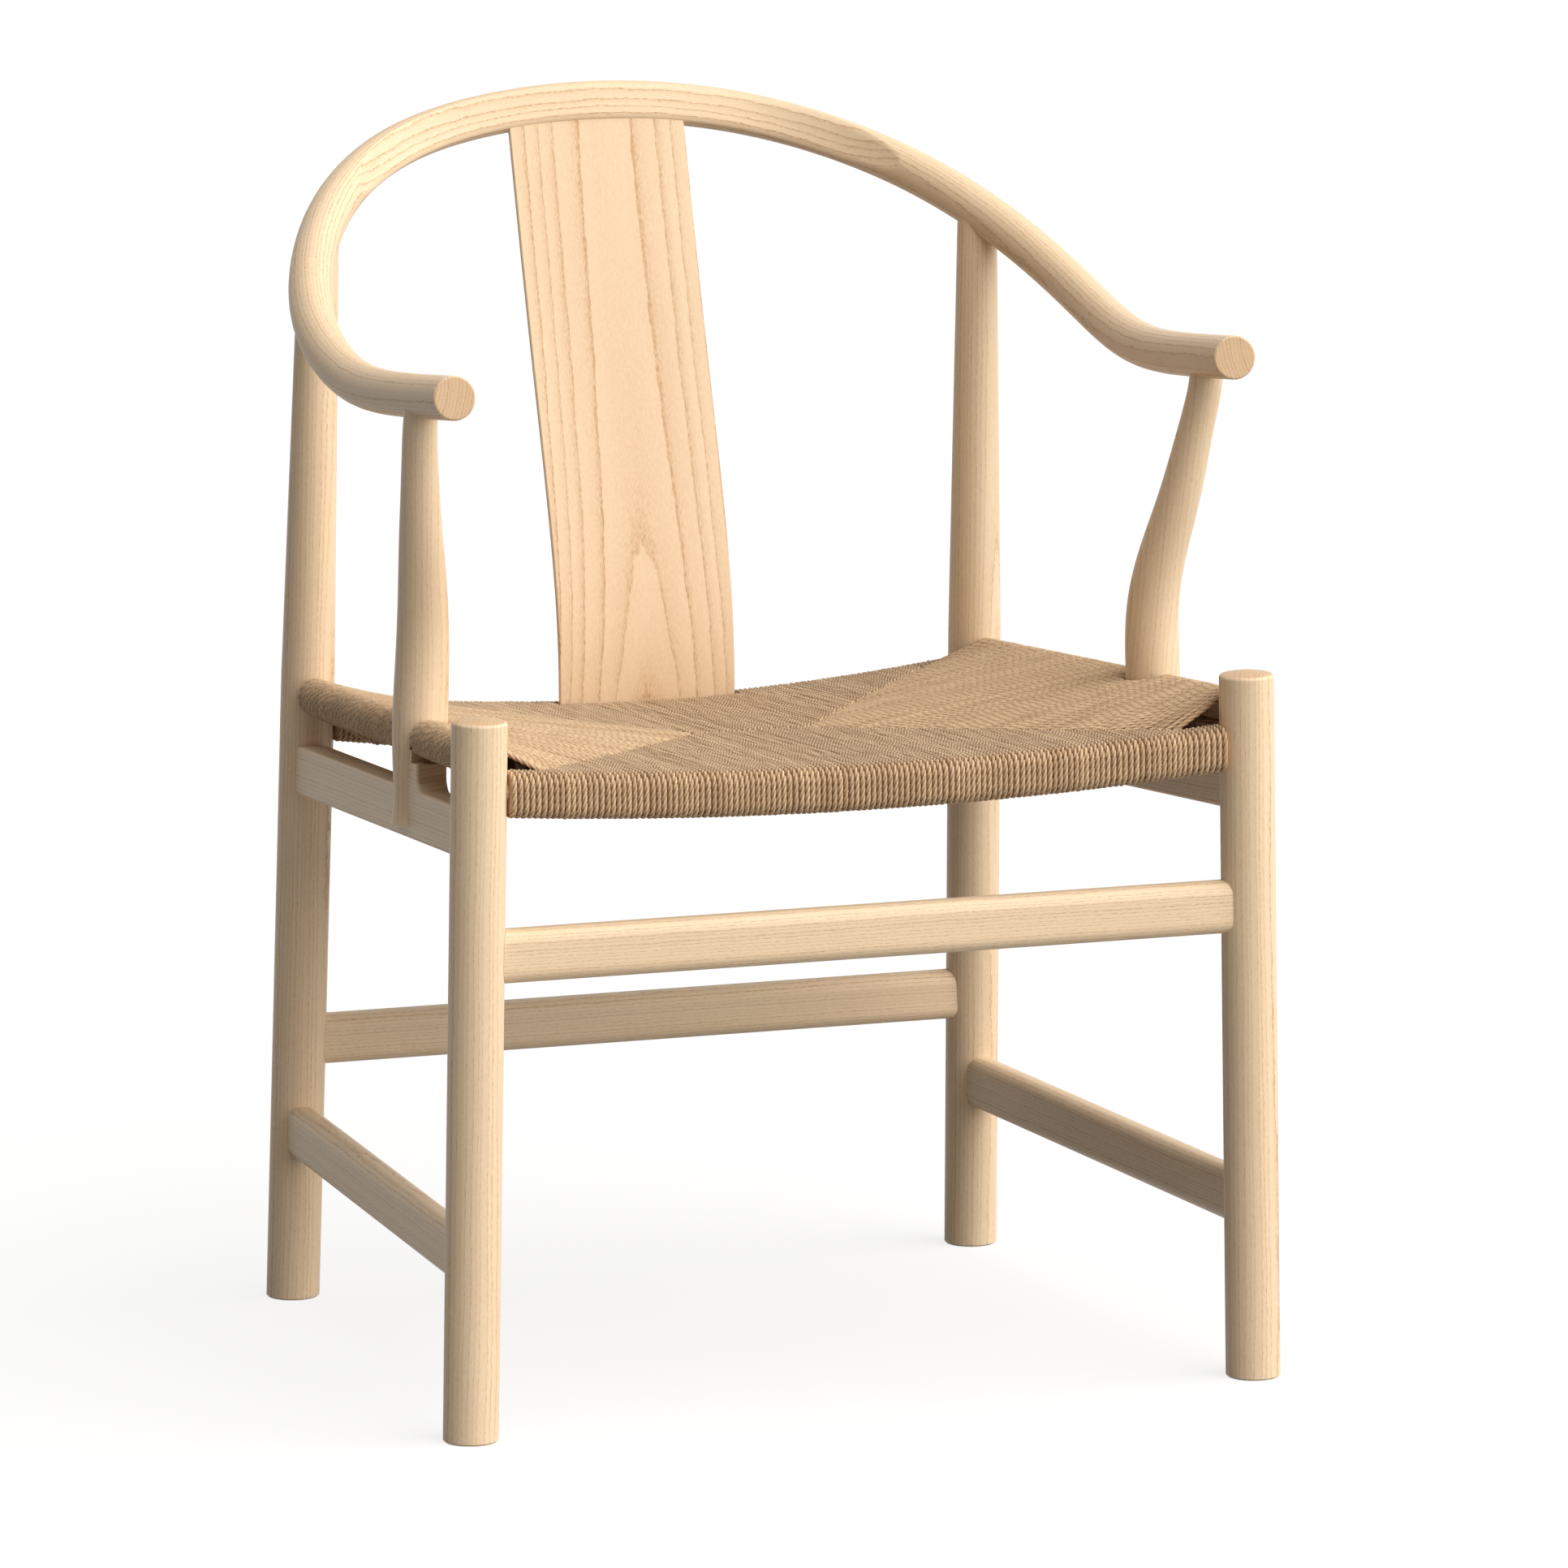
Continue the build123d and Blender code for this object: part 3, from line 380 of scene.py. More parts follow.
def splat_mesh():
    """The bent board, and the place in the straight plank of every point."""
    bend, ahead, run = smooth_line([(0, y, z) for z, y, _ in splat_points], splat_rings)
    heart_gap = np.interp(bend[:, 2], [p[0] for p in splat_points], [p[2] for p in splat_points])
    half, thick = splat_half_width, splat_thickness / 2
    outline = [(-half, thick - splat_ease)]
    outline += [(x, thick) for x in np.linspace(-half + splat_ease, half - splat_ease, splat_columns)]
    outline += [(half, thick - splat_ease), (half, thick - splat_edge), (half - splat_bevel, -thick)]
    outline += [(-half + splat_bevel, -thick), (-half, thick - splat_edge)]
    verts, plank = [], []
    for middle, way, along, gap in zip(bend, ahead, run, heart_gap):
        front = np.array((0, -way[2], way[1]))
        for x, forward in outline:
            verts.append(middle + np.array((x, 0, 0)) + forward * front)
            plank.append((x - splat_slope * along, forward + gap, along))
    around = len(outline)
    last = len(verts) - around
    faces = rings_joined(range(0, len(verts), around), around)
    faces += [tuple(range(around))[::-1], tuple(range(last, len(verts)))]
    piece = mesh_piece("back_splat_bevelled", verts, faces)
    mark(piece, "plank_place", "FLOAT_VECTOR", plank)
    piece.data.set_sharp_from_angle(angle=radians(24))
    return piece


splat = splat_mesh()
splat_grain = ((0, 0, 0), (0, 0, 1), (0, 0), splat_ring, 0.0035)
# warmth 0.22 darkens and warms the whole board as painted shade, for the shade that the seat and crest
# rail cast on its lower part
splat.data.materials.append(ash("ash back splat", *splat_grain, boldness=1.25, warmth=0.22, bent=True))
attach(splat, "root")
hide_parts("back_splat")

# ---- Crest rail -------------------------------------------------------------------------------
# One turned ash rod, steamed and bent into a horseshoe that is back and arms in one. A flat is
# planed across the front of its back stretch, and both ends are sawn square and eased.
crest_radius = 0.014
facet_depth = 0.008  # from the rod's middle to the flat
facet_tilt = radians(16.0)
facet_half = 0.225  # half its length along the rod
facet_runout = 0.060
end_ease = 0.0012
crest_rings = 460
crest_half = [
    (0.1306, 0.2456, 0.7537), (0.1949, 0.1930, 0.7281), (0.2360, 0.1287, 0.6968),
    (0.2599, 0.0550, 0.6630), (0.2651, -0.0308, 0.6403), (0.2633, -0.1274, 0.6419),
    (0.2602, -0.2251, 0.6524),
]
crest_line = [(-x, y, z) for x, y, z in reversed(crest_half)] + [(0.0, 0.2610, 0.7712)] + crest_half


def crest_mesh():
    """The rod with its planed flat, and the place in the straight rod of every point."""
    places, ahead, run = smooth_line(crest_line, crest_rings)
    middle = run[-1] / 2
    arc_points, flat_points = 40, 8
    least = 0.12  # half the flat's angle where it has run out
    around = arc_points + flat_points
    verts, plank, end_grain = [], [], []

    def ring(i, radius, shift):
        """Points round the rod at one place, and the number of the first."""
        level = np.cross(ahead[i], (0, 0, 1.0))
        level /= np.linalg.norm(level)
        up = np.cross(level, ahead[i])
        out = cos(facet_tilt) * level + sin(facet_tilt) * up
        over = np.cross(ahead[i], out)
        from_end = facet_half - abs(run[i] - middle)
        lift = (crest_radius - facet_depth) * max(0.0, 1 - from_end / facet_runout) ** 2
        depth = min(facet_depth + lift, 2 * crest_radius)
        edge = max(np.arccos(min(1.0, depth / radius)), least)
        angles = list(np.linspace(-edge, edge, flat_points + 1)[:-1])
        angles += list(np.linspace(edge, 2 * pi - edge, arc_points + 1)[:-1])
        first = len(verts)
        for angle in angles:
            reach = radius
            if cos(angle) > 0:
                reach = min(radius, depth / cos(angle))
            verts.append(places[i] + ahead[i] * shift + reach * (cos(angle) * out + sin(angle) * over))
            plank.append((reach * cos(angle), reach * sin(angle), run[i] + shift))
            end_grain.append(float(radius < crest_radius and shift == 0))
        return first

    last = len(places) - 1
    eased = end_ease * 0.3
    firsts = [ring(0, crest_radius - end_ease, 0.0)]
    firsts += [ring(0, crest_radius - eased, eased), ring(0, crest_radius, end_ease)]
    firsts += [ring(i, crest_radius, 0.0) for i in range(1, last)]
    firsts += [ring(last, crest_radius, -end_ease), ring(last, crest_radius - eased, -eased)]
    firsts += [ring(last, crest_radius - end_ease, 0.0)]
    faces = rings_joined(firsts, around)
    for first, i, turn in ((firsts[0], 0, -1), (firsts[-1], last, 1)):
        verts.append(places[i])
        plank.append((0.0, 0.0, run[i]))
        end_grain.append(1.0)
        centre = len(verts) - 1
        for k in range(around):
            n = (k + 1) % around
            faces.append((first + k, first + n, centre) if turn > 0 else (first + n, first + k, centre))
    piece = mesh_piece("crest_rail_bent_ash", verts, faces)
    mark(piece, "end_grain", "FLOAT", end_grain)
    mark(piece, "plank_place", "FLOAT_VECTOR", plank)

    # crisp arrises at the sawn ends; those along the flat are rubbed soft
    crisp = set()
    for first in (firsts[0], firsts[-1]):
        crisp |= {frozenset((first + k, first + (k + 1) % around)) for k in range(around)}
    sharp = piece.data.attributes.new("sharp_edge", "BOOLEAN", "EDGE")
    sharp.data.foreach_set("value", [frozenset(edge.vertices) in crisp for edge in piece.data.edges])
    return piece


crest = crest_mesh()
crest_grain = ((0, 0, 0), (0, 0, 1), (-0.060, -0.034), 0.0024, 0.004)
crest.data.materials.append(ash("ash crest rail", *crest_grain, boldness=1.3, warmth=0.06, bent=True))
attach(crest, "root")
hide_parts("crest_rail")

# ---- Woven seat -------------------------------------------------------------------------------
# Twisted paper cord in the envelope pattern. Every turn of cord goes round one rail and runs, on
# the top and underneath, to a diagonal seam, where it dives between the turns of the next rail.
cord_diameter = 0.0037
cord_radius = cord_diameter / 2
cord_lay = 0.0150  # length of one full turn of the three plies
cord_step = cord_lay / 8
ply_corners = 9  # of the cord's section, three to a ply
ply_groove = 0.28
girth_spread = 0.035
cord_seat = 0.0011  # from the rail's wood to the cord's middle line
cord_lift = 0.00012  # how unevenly the turns lie in height
cord_stray = (0.00030, 0.00030, 0.00016)  # how far a long run strays from straight
stray_step = 0.016
cord_tail = 0.008  # depth that a cord dives at a seam
turn_width = (0.93, 1.05)  # least and most room of a turn along a seam
gap_width = (0.10, 0.34)  # least and most of a gap beside it
gap_chance = 0.17
seam_bow = 0.9  # below 1, a seam sinks fastest near its corner
cord_light = (0.93, 0.680, 0.410, 1.0)
cord_dark = (0.36, 0.190, 0.080, 1.0)
# painted shade for the grooves between the plies
cord_shadow = (0.20, 0.095, 0.038, 1.0)
weave_thickness = 0.0031
rail_half_deep = 0.010
rail_half_tall = 0.012
rail_corner = 0.006
splat_stop = rail_half_deep + cord_diameter * 0.45 + 0.002  # where a cord ends before the splat
splat_back = 0.004  # where the cord behind the splat starts to lie on the rail
splat_rise = [(0.0030, 0.004), (0.0038, 0.0105)]  # and how it comes up to there
side_rail_radius = 0.0095
post_gap = 0.0004  # least gap from the side rail to a turn that the arm post stops
side_front = np.array((0.2564, -0.2575, 0.4320))
side_rear = np.array((0.2328, 0.1588, 0.4046))
seam_apex = np.array((0.039, -0.046))
apex_top, apex_under = 0.4010, 0.3870
turns_middle, turns_corner = 21, 7
# the two bowed ends: the middle line, height, dip and half length of the rail, which way is out,
# the corner where a seam starts, the turns of cord along it, and the face of the leg
front_end = SimpleNamespace(line=-0.2575, level=0.4102, dip=0.0112, half=0.2568, outward=-1,
                            corner=np.array((0.2115, -0.2490)), turns=47, leg_face=-0.2398)
rear_end = SimpleNamespace(line=0.1595, level=0.3902, dip=0.0169, half=0.2331, outward=1,
                           corner=np.array((0.1900, 0.1480)), turns=42, leg_face=0.1408)
rng = np.random.default_rng(7)


def rail_middle(end, x):
    """Height of a bowed rail's middle at x."""
    return end.level - end.dip * (1 - (x / end.half) ** 2)


def side_rail_at(y):
    """Middle of the right side rail at y."""
    share = (y - side_front[1]) / (side_rear[1] - side_front[1])
    return side_front + (side_rear - side_front) * share


def rail_outline(half_deep, half_tall, corner):
    """Points of a cord round a rail, from its inner side up and over."""
    reach = corner + cord_seat
    outline = []
    for turn in range(4):
        start = pi - turn * pi / 2
        centre_h = (half_deep - corner) * (-1 if turn in (0, 3) else 1)
        centre_z = (half_tall - corner) * (1 if turn in (0, 1) else -1)
        for k in range(7):
            angle = start - k * pi / 12
            outline.append((centre_h + reach * cos(angle), centre_z + reach * sin(angle)))
    return np.array(outline)


def dive(end, towards, depth):
    """A cord's end that turns down out of sight; towards is 1 if the cord comes from the right."""
    h, z = end
    down = -1 if depth > 0 else 1
    turned = [
        (h - towards * out * cord_radius, z + down * drop * cord_radius)
        for out, drop in ((0.85, 1.2), (0.5, 0.4), (-0.2, 0.0))
    ]
    return [(h - towards * 0.9 * cord_radius, z + down * abs(depth))] + turned


def wound(outline, top_end, under_end):
    """A taut turn of cord: from the top seam, round the rail, to the seam underneath."""
    half = len(outline) // 2
    rise = [atan2(z - top_end[1], h - top_end[0]) for h, z in outline[:half]]
    fall = [atan2(under_end[1] - z, h - under_end[0]) for h, z in outline[half:]]
    first = int(np.argmax(rise))
    last = half + int(np.argmax(fall))
    round_rail = [tuple(p) for p in outline[first:last + 1]]
    return dive(top_end, 1, cord_tail) + round_rail + dive(under_end, 1, -cord_tail)[::-1]


def drawn_tight(points):
    """A cord's middle line with points along its long runs that stray a little to each side."""
    strayed = [points[0]]
    for low, high in zip(points, points[1:]):
        run = np.array(high) - np.array(low)
        parts = int(np.linalg.norm(run) / stray_step)
        for k in range(1, parts):
            strayed.append(tuple(np.array(low) + run * k / parts + rng.normal(0, cord_stray)))
        strayed.append(high)
    return strayed


def spaced(turns):
    """Shares along a seam for some turns of cord, with a gap left here and there."""
    widths = rng.uniform(*turn_width, turns)
    gapped = rng.random(turns) < gap_chance
    widths += np.where(gapped, rng.uniform(*gap_width, turns), 0)
    return (np.cumsum(widths) - widths / 2) / widths.sum()


def seam(end, share):
    """Place on a diagonal seam, from the corner to the middle of the seat."""
    return end.corner + (seam_apex - end.corner) * share


def seam_level(end, share, face):
    """Height of a cord's middle line at the seam; face is 1 on top and -1 underneath."""
    crown = rail_middle(end, end.corner[0]) + face * (rail_half_tall + weave_thickness - cord_radius)
    middle = (apex_top if face > 0 else apex_under) - face * cord_radius
    return crown + (middle - crown) * share ** seam_bow


rail_round = rail_outline(rail_half_deep, rail_half_tall, rail_corner)
side_round = rail_outline(side_rail_radius, side_rail_radius, side_rail_radius)


def end_cords(half_sign, end):
    """Turns of cord round one half of the front or rear rail."""
    cords = []

    def placed(x, loop):
        """Lay one turn at x."""
        middle = rail_middle(end, x)
        points = [(half_sign * x, end.line + end.outward * h, middle + z) for h, z in loop]
        cords.append(drawn_tight(points))

    places = [(seam(end, share), share) for share in spaced(end.turns)]
    step = 2 * seam_apex[0] / turns_middle
    between_seams = (turns_middle + (1 if half_sign > 0 else 0)) // 2
    places += [((seam_apex[0] - step * (k + 0.5), seam_apex[1]), 1.0) for k in range(between_seams)]
    for (x, y), share in places:
        middle = rail_middle(end, x)
        inner = -abs(y - end.line) + cord_radius
        top = (inner, seam_level(end, share, 1) - middle + rng.normal(0, cord_lift))
        under = (inner, seam_level(end, share, -1) - middle)
        if end is rear_end and x < splat_half_width + cord_radius:
            # the splat parts this turn: one piece ends in front of it, one comes up behind it
            loop = wound(rail_round, top, under)
            over = loop[4]
            way = (-splat_stop - top[0]) / (over[0] - top[0])
            foot = (-splat_stop, top[1] + (over[1] - top[1]) * way)
            placed(x, dive(top, 1, cord_tail) + dive(foot, -1, 2 * cord_tail)[::-1])
            back = [p for p in map(tuple, rail_round) if p[0] > splat_back or p[1] < 0]
            loop = wound(np.array(back), top, under)
            start = next(i for i, p in enumerate(loop) if p in back)
            placed(x, splat_rise + loop[start:])
        else:
            placed(x, wound(rail_round, top, under))

    # turns beside the leg go round the rail alone, and their ends meet inside it
    room = end.half - leg_diameter / 2 - end.corner[0]
    for k in range(turns_corner):
        loop = [tuple(p) for p in rail_round]
        inside = (loop[0][0] + loop[-1][0]) / 2 + 0.001
        loop = [(inside, 0.002)] + loop + [(inside, -0.002)]
        placed(end.corner[0] + room * (k + 0.5) / turns_corner, loop)
    return cords


def side_cords(half_sign):
    """Turns of cord round one side rail."""
    cords = []
    r = cord_radius

    def placed(y_rail, y_seam, x_seam, loop):
        """Lay one turn from its place on the rail to its place on the seam."""
        rail = side_rail_at(y_rail)
        reach = max(rail[0] - x_seam, 0.001)
        points = []
        for h, z in loop:
            share = min(1.0, max(0.0, -(h + side_rail_radius) / (reach - side_rail_radius)))
            points.append((half_sign * (rail[0] + h), y_rail + (y_seam - y_rail) * share, rail[2] + z))
        cords.append(drawn_tight(points))

    for end, share in [(end, share) for end in (front_end, rear_end) for share in spaced(end.turns)]:
        x, y = seam(end, share)
        y_rail = end.leg_face + (seam_apex[1] - end.leg_face) * share
        rail = side_rail_at(y_rail)
        inner = x + r - rail[0]
        top = (inner, seam_level(end, share, 1) - rail[2] + rng.normal(0, cord_lift))
        under = (inner, seam_level(end, share, -1) - rail[2])
        beside = abs(y_rail - post_foot[1])
        if beside < post_radius + 0.6 * r:
            # the arm post stops this turn, which goes down in front of it
            stop = post_foot[0] - sqrt(max((post_radius + r) ** 2 - beside**2, 0)) - rail[0]
            stop = min(stop, -side_rail_radius - r - post_gap)
            way = (stop - inner) / -inner
            high = top[1] + (side_rail_radius + cord_seat - top[1]) * way
            low = under[1] + (-side_rail_radius - cord_seat - under[1]) * way
            loop = dive(top, 1, cord_tail)
            loop += [(stop - r, high), (stop - 0.25 * r, high - 0.3 * r), (stop, high - r)]
            loop += [(stop, low + r), (stop - 0.25 * r, low + 0.3 * r), (stop - r, low)]
            loop += dive(under, 1, -cord_tail)[::-1]
        else:
            loop = wound(side_round, top, under)
        placed(y_rail, y, x, loop)
    return cords


def cord_tree():
    """Geometry Nodes: middle lines in, three-ply twisted cord out."""
    tree = bpy.data.node_groups.new("wound paper cord", "GeometryNodeTree")
    add_sockets(tree, "INPUT", ("Geometry", "Geometry"), ("Cord Diameter", "Float"),
                ("Lay Length", "Float"), ("Step", "Float"), ("Ply Groove", "Float"),
                ("Finish", "Material"))
    add_sockets(tree, "OUTPUT", ("Geometry", "Geometry"))
    lines, diameter, lay, step, groove, finish = wire(tree, "NodeGroupInput", -1400, 0).outputs[:6]

    def math(x, y, operation, first, second=0.0, third=0.0):
        """One step of arithmetic."""
        return wire(tree, "ShaderNodeMath", x, y, operation=operation,
                    in_0=first, in_1=second, in_2=third).outputs[0]

    def named(x, y, name):
        """A value kept on the points under a name."""
        return wire(tree, "GeometryNodeInputNamedAttribute", x, y, data_type="FLOAT",
                    in_0=name).outputs[0]

    def keep(x, y, geometry, name, value):
        """Keep a value on every point under a name."""
        return wire(tree, "GeometryNodeStoreNamedAttribute", x, y, data_type="FLOAT", domain="POINT",
                    in_0=geometry, in_2=name, in_Value=value).outputs[0]

    # the line is divided evenly, and twisted by one turn of the plies in each lay
    curves = wire(tree, "GeometryNodeMeshToCurve", -1200, 0, in_0=lines)
    even = wire(tree, "GeometryNodeResampleCurve", -1000, 0, mode="LENGTH",
                in_Curve=curves.outputs[0], in_Length=step)
    run = wire(tree, "GeometryNodeSplineParameter", -1200, -260).outputs[1]
    turn = named(-1200, -400, "turn")
    girth = named(-400, -560, "girth")
    angle = math(-840, -260, "MULTIPLY_ADD", math(-1000, -260, "DIVIDE", run, lay), 2 * pi, turn)
    twisted = wire(tree, "GeometryNodeSetCurveTilt", -800, 0, in_0=even.outputs[0], in_Tilt=angle)
    kept_run = keep(-600, 0, twisted.outputs[0], "run", run)
    sized = wire(tree, "GeometryNodeSetCurveRadius", -400, 0, in_0=kept_run, in_Radius=girth)

    # profile: every third corner is drawn in, where two plies meet
    circle = wire(tree, "GeometryNodeCurvePrimitiveCircle", -1000, -760, in_0=ply_corners,
                  in_Radius=math(-1200, -760, "MULTIPLY", diameter, 0.5))
    index = wire(tree, "GeometryNodeInputIndex", -1200, -940)
    meets = math(-840, -940, "LESS_THAN", math(-1000, -940, "MODULO", index.outputs[0], 3.0), 0.5)
    inward = math(-520, -940, "MULTIPLY", math(-680, -940, "MULTIPLY", meets, groove), -1.0)
    here = wire(tree, "GeometryNodeInputPosition", -680, -1100)
    offset = wire(tree, "ShaderNodeVectorMath", -360, -1000, operation="SCALE",
                  in_0=here.outputs[0], in_Scale=inward)
    profile = wire(tree, "GeometryNodeSetPosition", -200, -760,
                   in_0=circle.outputs[0], in_Offset=offset.outputs[0])
    # the groove mark also carries the painted shade in the cord's material
    marked = keep(-40, -760, profile.outputs[0], "groove", meets)

    cord = wire(tree, "GeometryNodeCurveToMesh", 160, 0,
                in_Curve=sized.outputs[0], in_1=marked, in_Scale=girth)
    cord.inputs["Fill Caps"].default_value = True
    soft = wire(tree, "GeometryNodeSetShadeSmooth", 340, 0, in_0=cord.outputs[0])
    real = wire(tree, "GeometryNodeRealizeInstances", 520, 0, in_0=soft.outputs[0])
    done = wire(tree, "GeometryNodeSetMaterial", 700, 0, in_0=real.outputs[0], in_Material=finish)
    wire(tree, "NodeGroupOutput", 880, 0, in_0=done.outputs[0])
    return tree


def paper_cord():
    """Unbleached twisted paper: warm tan, with painted shade in the grooves where the plies meet, each
    turn a tone of its own.
    """
    material, tree = new_material("paper cord")
    here = wire(tree, "ShaderNodeTexCoord", -1200, 0).outputs[3]
    tone, groove, run = (
        wire(tree, "ShaderNodeAttribute", -1200, y, attribute_name=name).outputs[2]
        for name, y in (("tone", 300), ("groove", -300), ("run", -500))
    )
    blotch = wire(tree, "ShaderNodeTexNoise", -1000, 100, in_0=here, in_2=55.0, in_3=3.0)
    fibre = wire(tree, "ShaderNodeTexNoise", -1000, -120,
                 in_0=here, in_2=900.0, in_3=3.0, in_4=0.65).outputs[0]
    kink = wire(tree, "ShaderNodeTexNoise", -1000, -520, noise_dimensions="1D",
                in_1=run, in_2=160.0, in_3=2.0)

    def add_part(x, y, value, much, rest, clamp=False):
        """A value times how much it counts, added to the rest."""
        return wire(tree, "ShaderNodeMath", x, y, operation="MULTIPLY_ADD", use_clamp=clamp,
                    in_0=value, in_1=much, in_2=rest).outputs[0]

    shade = add_part(-640, 240, blotch.outputs[0], 0.40, add_part(-800, 300, tone, 0.13, -0.12))
    shade = add_part(-480, 180, fibre, 0.85, shade, clamp=True)
    paper = wire(tree, "ShaderNodeMix", -300, 180, data_type="RGBA",
                 in_0=shade, in_6=cord_light, in_7=cord_dark)
    # painted shade: the grooves where two plies meet are darkened towards cord_shadow
    edge = wire(tree, "ShaderNodeMapRange", -800, -300,
                in_0=groove, in_1=0.25, in_2=1.0, in_3=0.0, in_4=0.95)
    shaded = wire(tree, "ShaderNodeMix", -100, 100, data_type="RGBA",
                  in_0=edge.outputs[0], in_6=paper.outputs[2], in_7=cord_shadow)
    relief = add_part(-480, -300, fibre, 0.6, kink.outputs[0])
    bump = wire(tree, "ShaderNodeBump", -100, -300, in_0=0.35, in_1=0.0006, in_3=relief)
    shader = wire(tree, "ShaderNodeBsdfPrincipled", 120, 0,
                  in_0=shaded.outputs[2], in_2=0.62, in_Normal=bump.outputs[0])
    shader.inputs["Specular IOR Level"].default_value = 0.5
    shader.inputs["Sheen Weight"].default_value = 0.15
    wire(tree, "ShaderNodeOutputMaterial", 420, 0, in_0=shader.outputs[0])
    return material


winding = cord_tree()
cord_finish = paper_cord()


def wind(name, cords, node):
    """Cord of one part of the seat, as a plain mesh that stands for a fixed node."""
    lines = bpy.data.meshes.new(name + " lines")
    sizes = [len(points) for points in cords]
    ends = set(np.cumsum(sizes))
    lines.from_pydata(sum(cords, []), [(i - 1, i) for i in range(1, sum(sizes)) if i not in ends], [])
    for key, values in (
        ("tone", rng.uniform(-1, 1, len(cords))),
        ("turn", rng.uniform(0, 2 * pi, len(cords))),
        ("girth", rng.normal(1.0, girth_spread, len(cords))),
    ):
        lines.attributes.new(key, "FLOAT", "POINT").data.foreach_set("value", np.repeat(values, sizes))
    guide = bpy.data.objects.new(name + " lines", lines)
    bpy.context.scene.collection.objects.link(guide)
    modifier = guide.modifiers.new("winding", "NODES")
    modifier.node_group = winding
    for socket, value in (
        ("Cord Diameter", cord_diameter), ("Lay Length", cord_lay), ("Step", cord_step),
        ("Ply Groove", ply_groove), ("Finish", cord_finish),
    ):
        modifier[winding.interface.items_tree[socket].identifier] = value
    bpy.context.view_layer.update()
    mesh = bpy.data.meshes.new_from_object(guide.evaluated_get(bpy.context.evaluated_depsgraph_get()))
    bpy.data.objects.remove(guide)
    piece = bpy.data.objects.new(name, mesh)
    bpy.context.scene.collection.objects.link(piece)
    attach(piece, "root")
    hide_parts(node)


for side_name, side_sign in (("left", -1), ("right", 1)):
    front_cords = end_cords(side_sign, front_end)
    rear_cords = end_cords(side_sign, rear_end)
    for part_name, cords, split, node in (
        ("front", front_cords, front_end.turns // 2, "front_weave"),
        ("rear", rear_cords, rear_end.turns // 2, "rear_weave"),
        ("side", side_cords(side_sign), front_end.turns, "side_weave_" + side_name),
    ):
        wind(f"cord_{part_name}_{side_name}_1", cords[:split], node)
        wind(f"cord_{part_name}_{side_name}_2", cords[split:], node)

# ---- Seat packing -----------------------------------------------------------------------------
# Sheets of folded paper between the upper and the lower cords, one behind each rail. They fill the seat
# and are held by the cords alone.
# They are painted near-black rather than the paper's own brown: painted shade for the deep shade inside
# the seat that shows through gaps in the cords.
pad_clear = 0.0275  # from a side rail's middle line to the paper
pad_rail_gap = 0.0012  # from the cords on an end rail to the paper
pad_gap = 0.0033  # from the middle line of the nearest cord above or below
pad_edge = 0.0015  # from a seam
pad_start = 0.03  # share of a seam from the paper's outer edge to the first station
pad_half_stations, pad_end_stations = 9, 8
# painted shade: near-black colours for the deep shade inside the seat
pad_painted_shade_dark = (0.022, 0.012, 0.006, 1.0)
pad_painted_shade_light = (0.045, 0.025, 0.013, 1.0)

pad_painted_shade, pad_tree = new_material("packing painted as inner shade")
pad_here = wire(pad_tree, "ShaderNodeTexCoord", -800, 0).outputs[3]
pad_crease = wire(pad_tree, "ShaderNodeTexNoise", -600, 0, in_0=pad_here, in_2=300.0)
pad_color = wire(pad_tree, "ShaderNodeMix", -300, 0, data_type="RGBA",
                 in_0=pad_crease.outputs[0], in_6=pad_painted_shade_dark, in_7=pad_painted_shade_light)
pad_shader = wire(pad_tree, "ShaderNodeBsdfPrincipled", 0, 0, in_0=pad_color.outputs[2], in_2=0.95)
pad_shader.inputs["Specular IOR Level"].default_value = 0.1
wire(pad_tree, "ShaderNodeOutputMaterial", 300, 0, in_0=pad_shader.outputs[0])


def station(end, share, on_seam, by_rail, way, middle, reach):
    """Four corners of the paper between the cords, beside one turn.

    way is how far by_rail lies from the seam towards the rail's middle line, whose height is
    middle, and reach is from there to the cords over and under the rail.
    """
    corners = []
    for face in (1, -1):
        low = seam_level(end, share, face)
        at_rail = low + (middle + face * reach - low) * way
        ends = [(*on_seam, low - face * pad_gap), (*by_rail, at_rail - face * pad_gap)]
        corners += ends[::face]
    return corners


def packing(name, stations):
    """Closed sheet of paper through its stations."""
    verts = sum(stations, [])
    faces = [(0, 1, 2, 3), tuple(range(len(verts) - 4, len(verts)))]
    faces += rings_joined(range(0, len(verts), 4), 4)
    pad = mesh_piece(name, verts, faces, smooth=False)
    shell = bmesh.new()
    shell.from_mesh(pad.data)
    bmesh.ops.recalc_face_normals(shell, faces=shell.faces)
    shell.to_mesh(pad.data)
    shell.free()
    # the packing's colour is painted shade, not the paper's own
    pad.data.materials.append(pad_painted_shade)
    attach(pad, "root")


pad_ends = []
for end_name, end in (("front", front_end), ("rear", rear_end)):
    near = end.line - end.outward * (rail_half_deep + cord_seat + cord_radius + pad_rail_gap)
    pad_ends.append(near)
    start = (near - end.corner[1]) / (seam_apex[1] - end.corner[1]) + pad_start
    half_width = list(np.linspace(seam(end, start)[0], seam_apex[0], pad_end_stations))
    stations = []
    for x in [-x for x in half_width] + [0.0] + half_width[::-1]:
        share = min(1.0, (end.corner[0] - abs(x)) / (end.corner[0] - seam_apex[0]))
        seam_y = seam(end, share)[1]
        way = (near - seam_y) / (end.line - seam_y)
        on_seam, by_rail = (x, seam_y + end.outward * pad_edge), (x, near)
        middle, reach = rail_middle(end, x), rail_half_tall + cord_seat
        stations.append(station(end, share, on_seam, by_rail, way, middle, reach))
    packing("packing_" + end_name, stations)

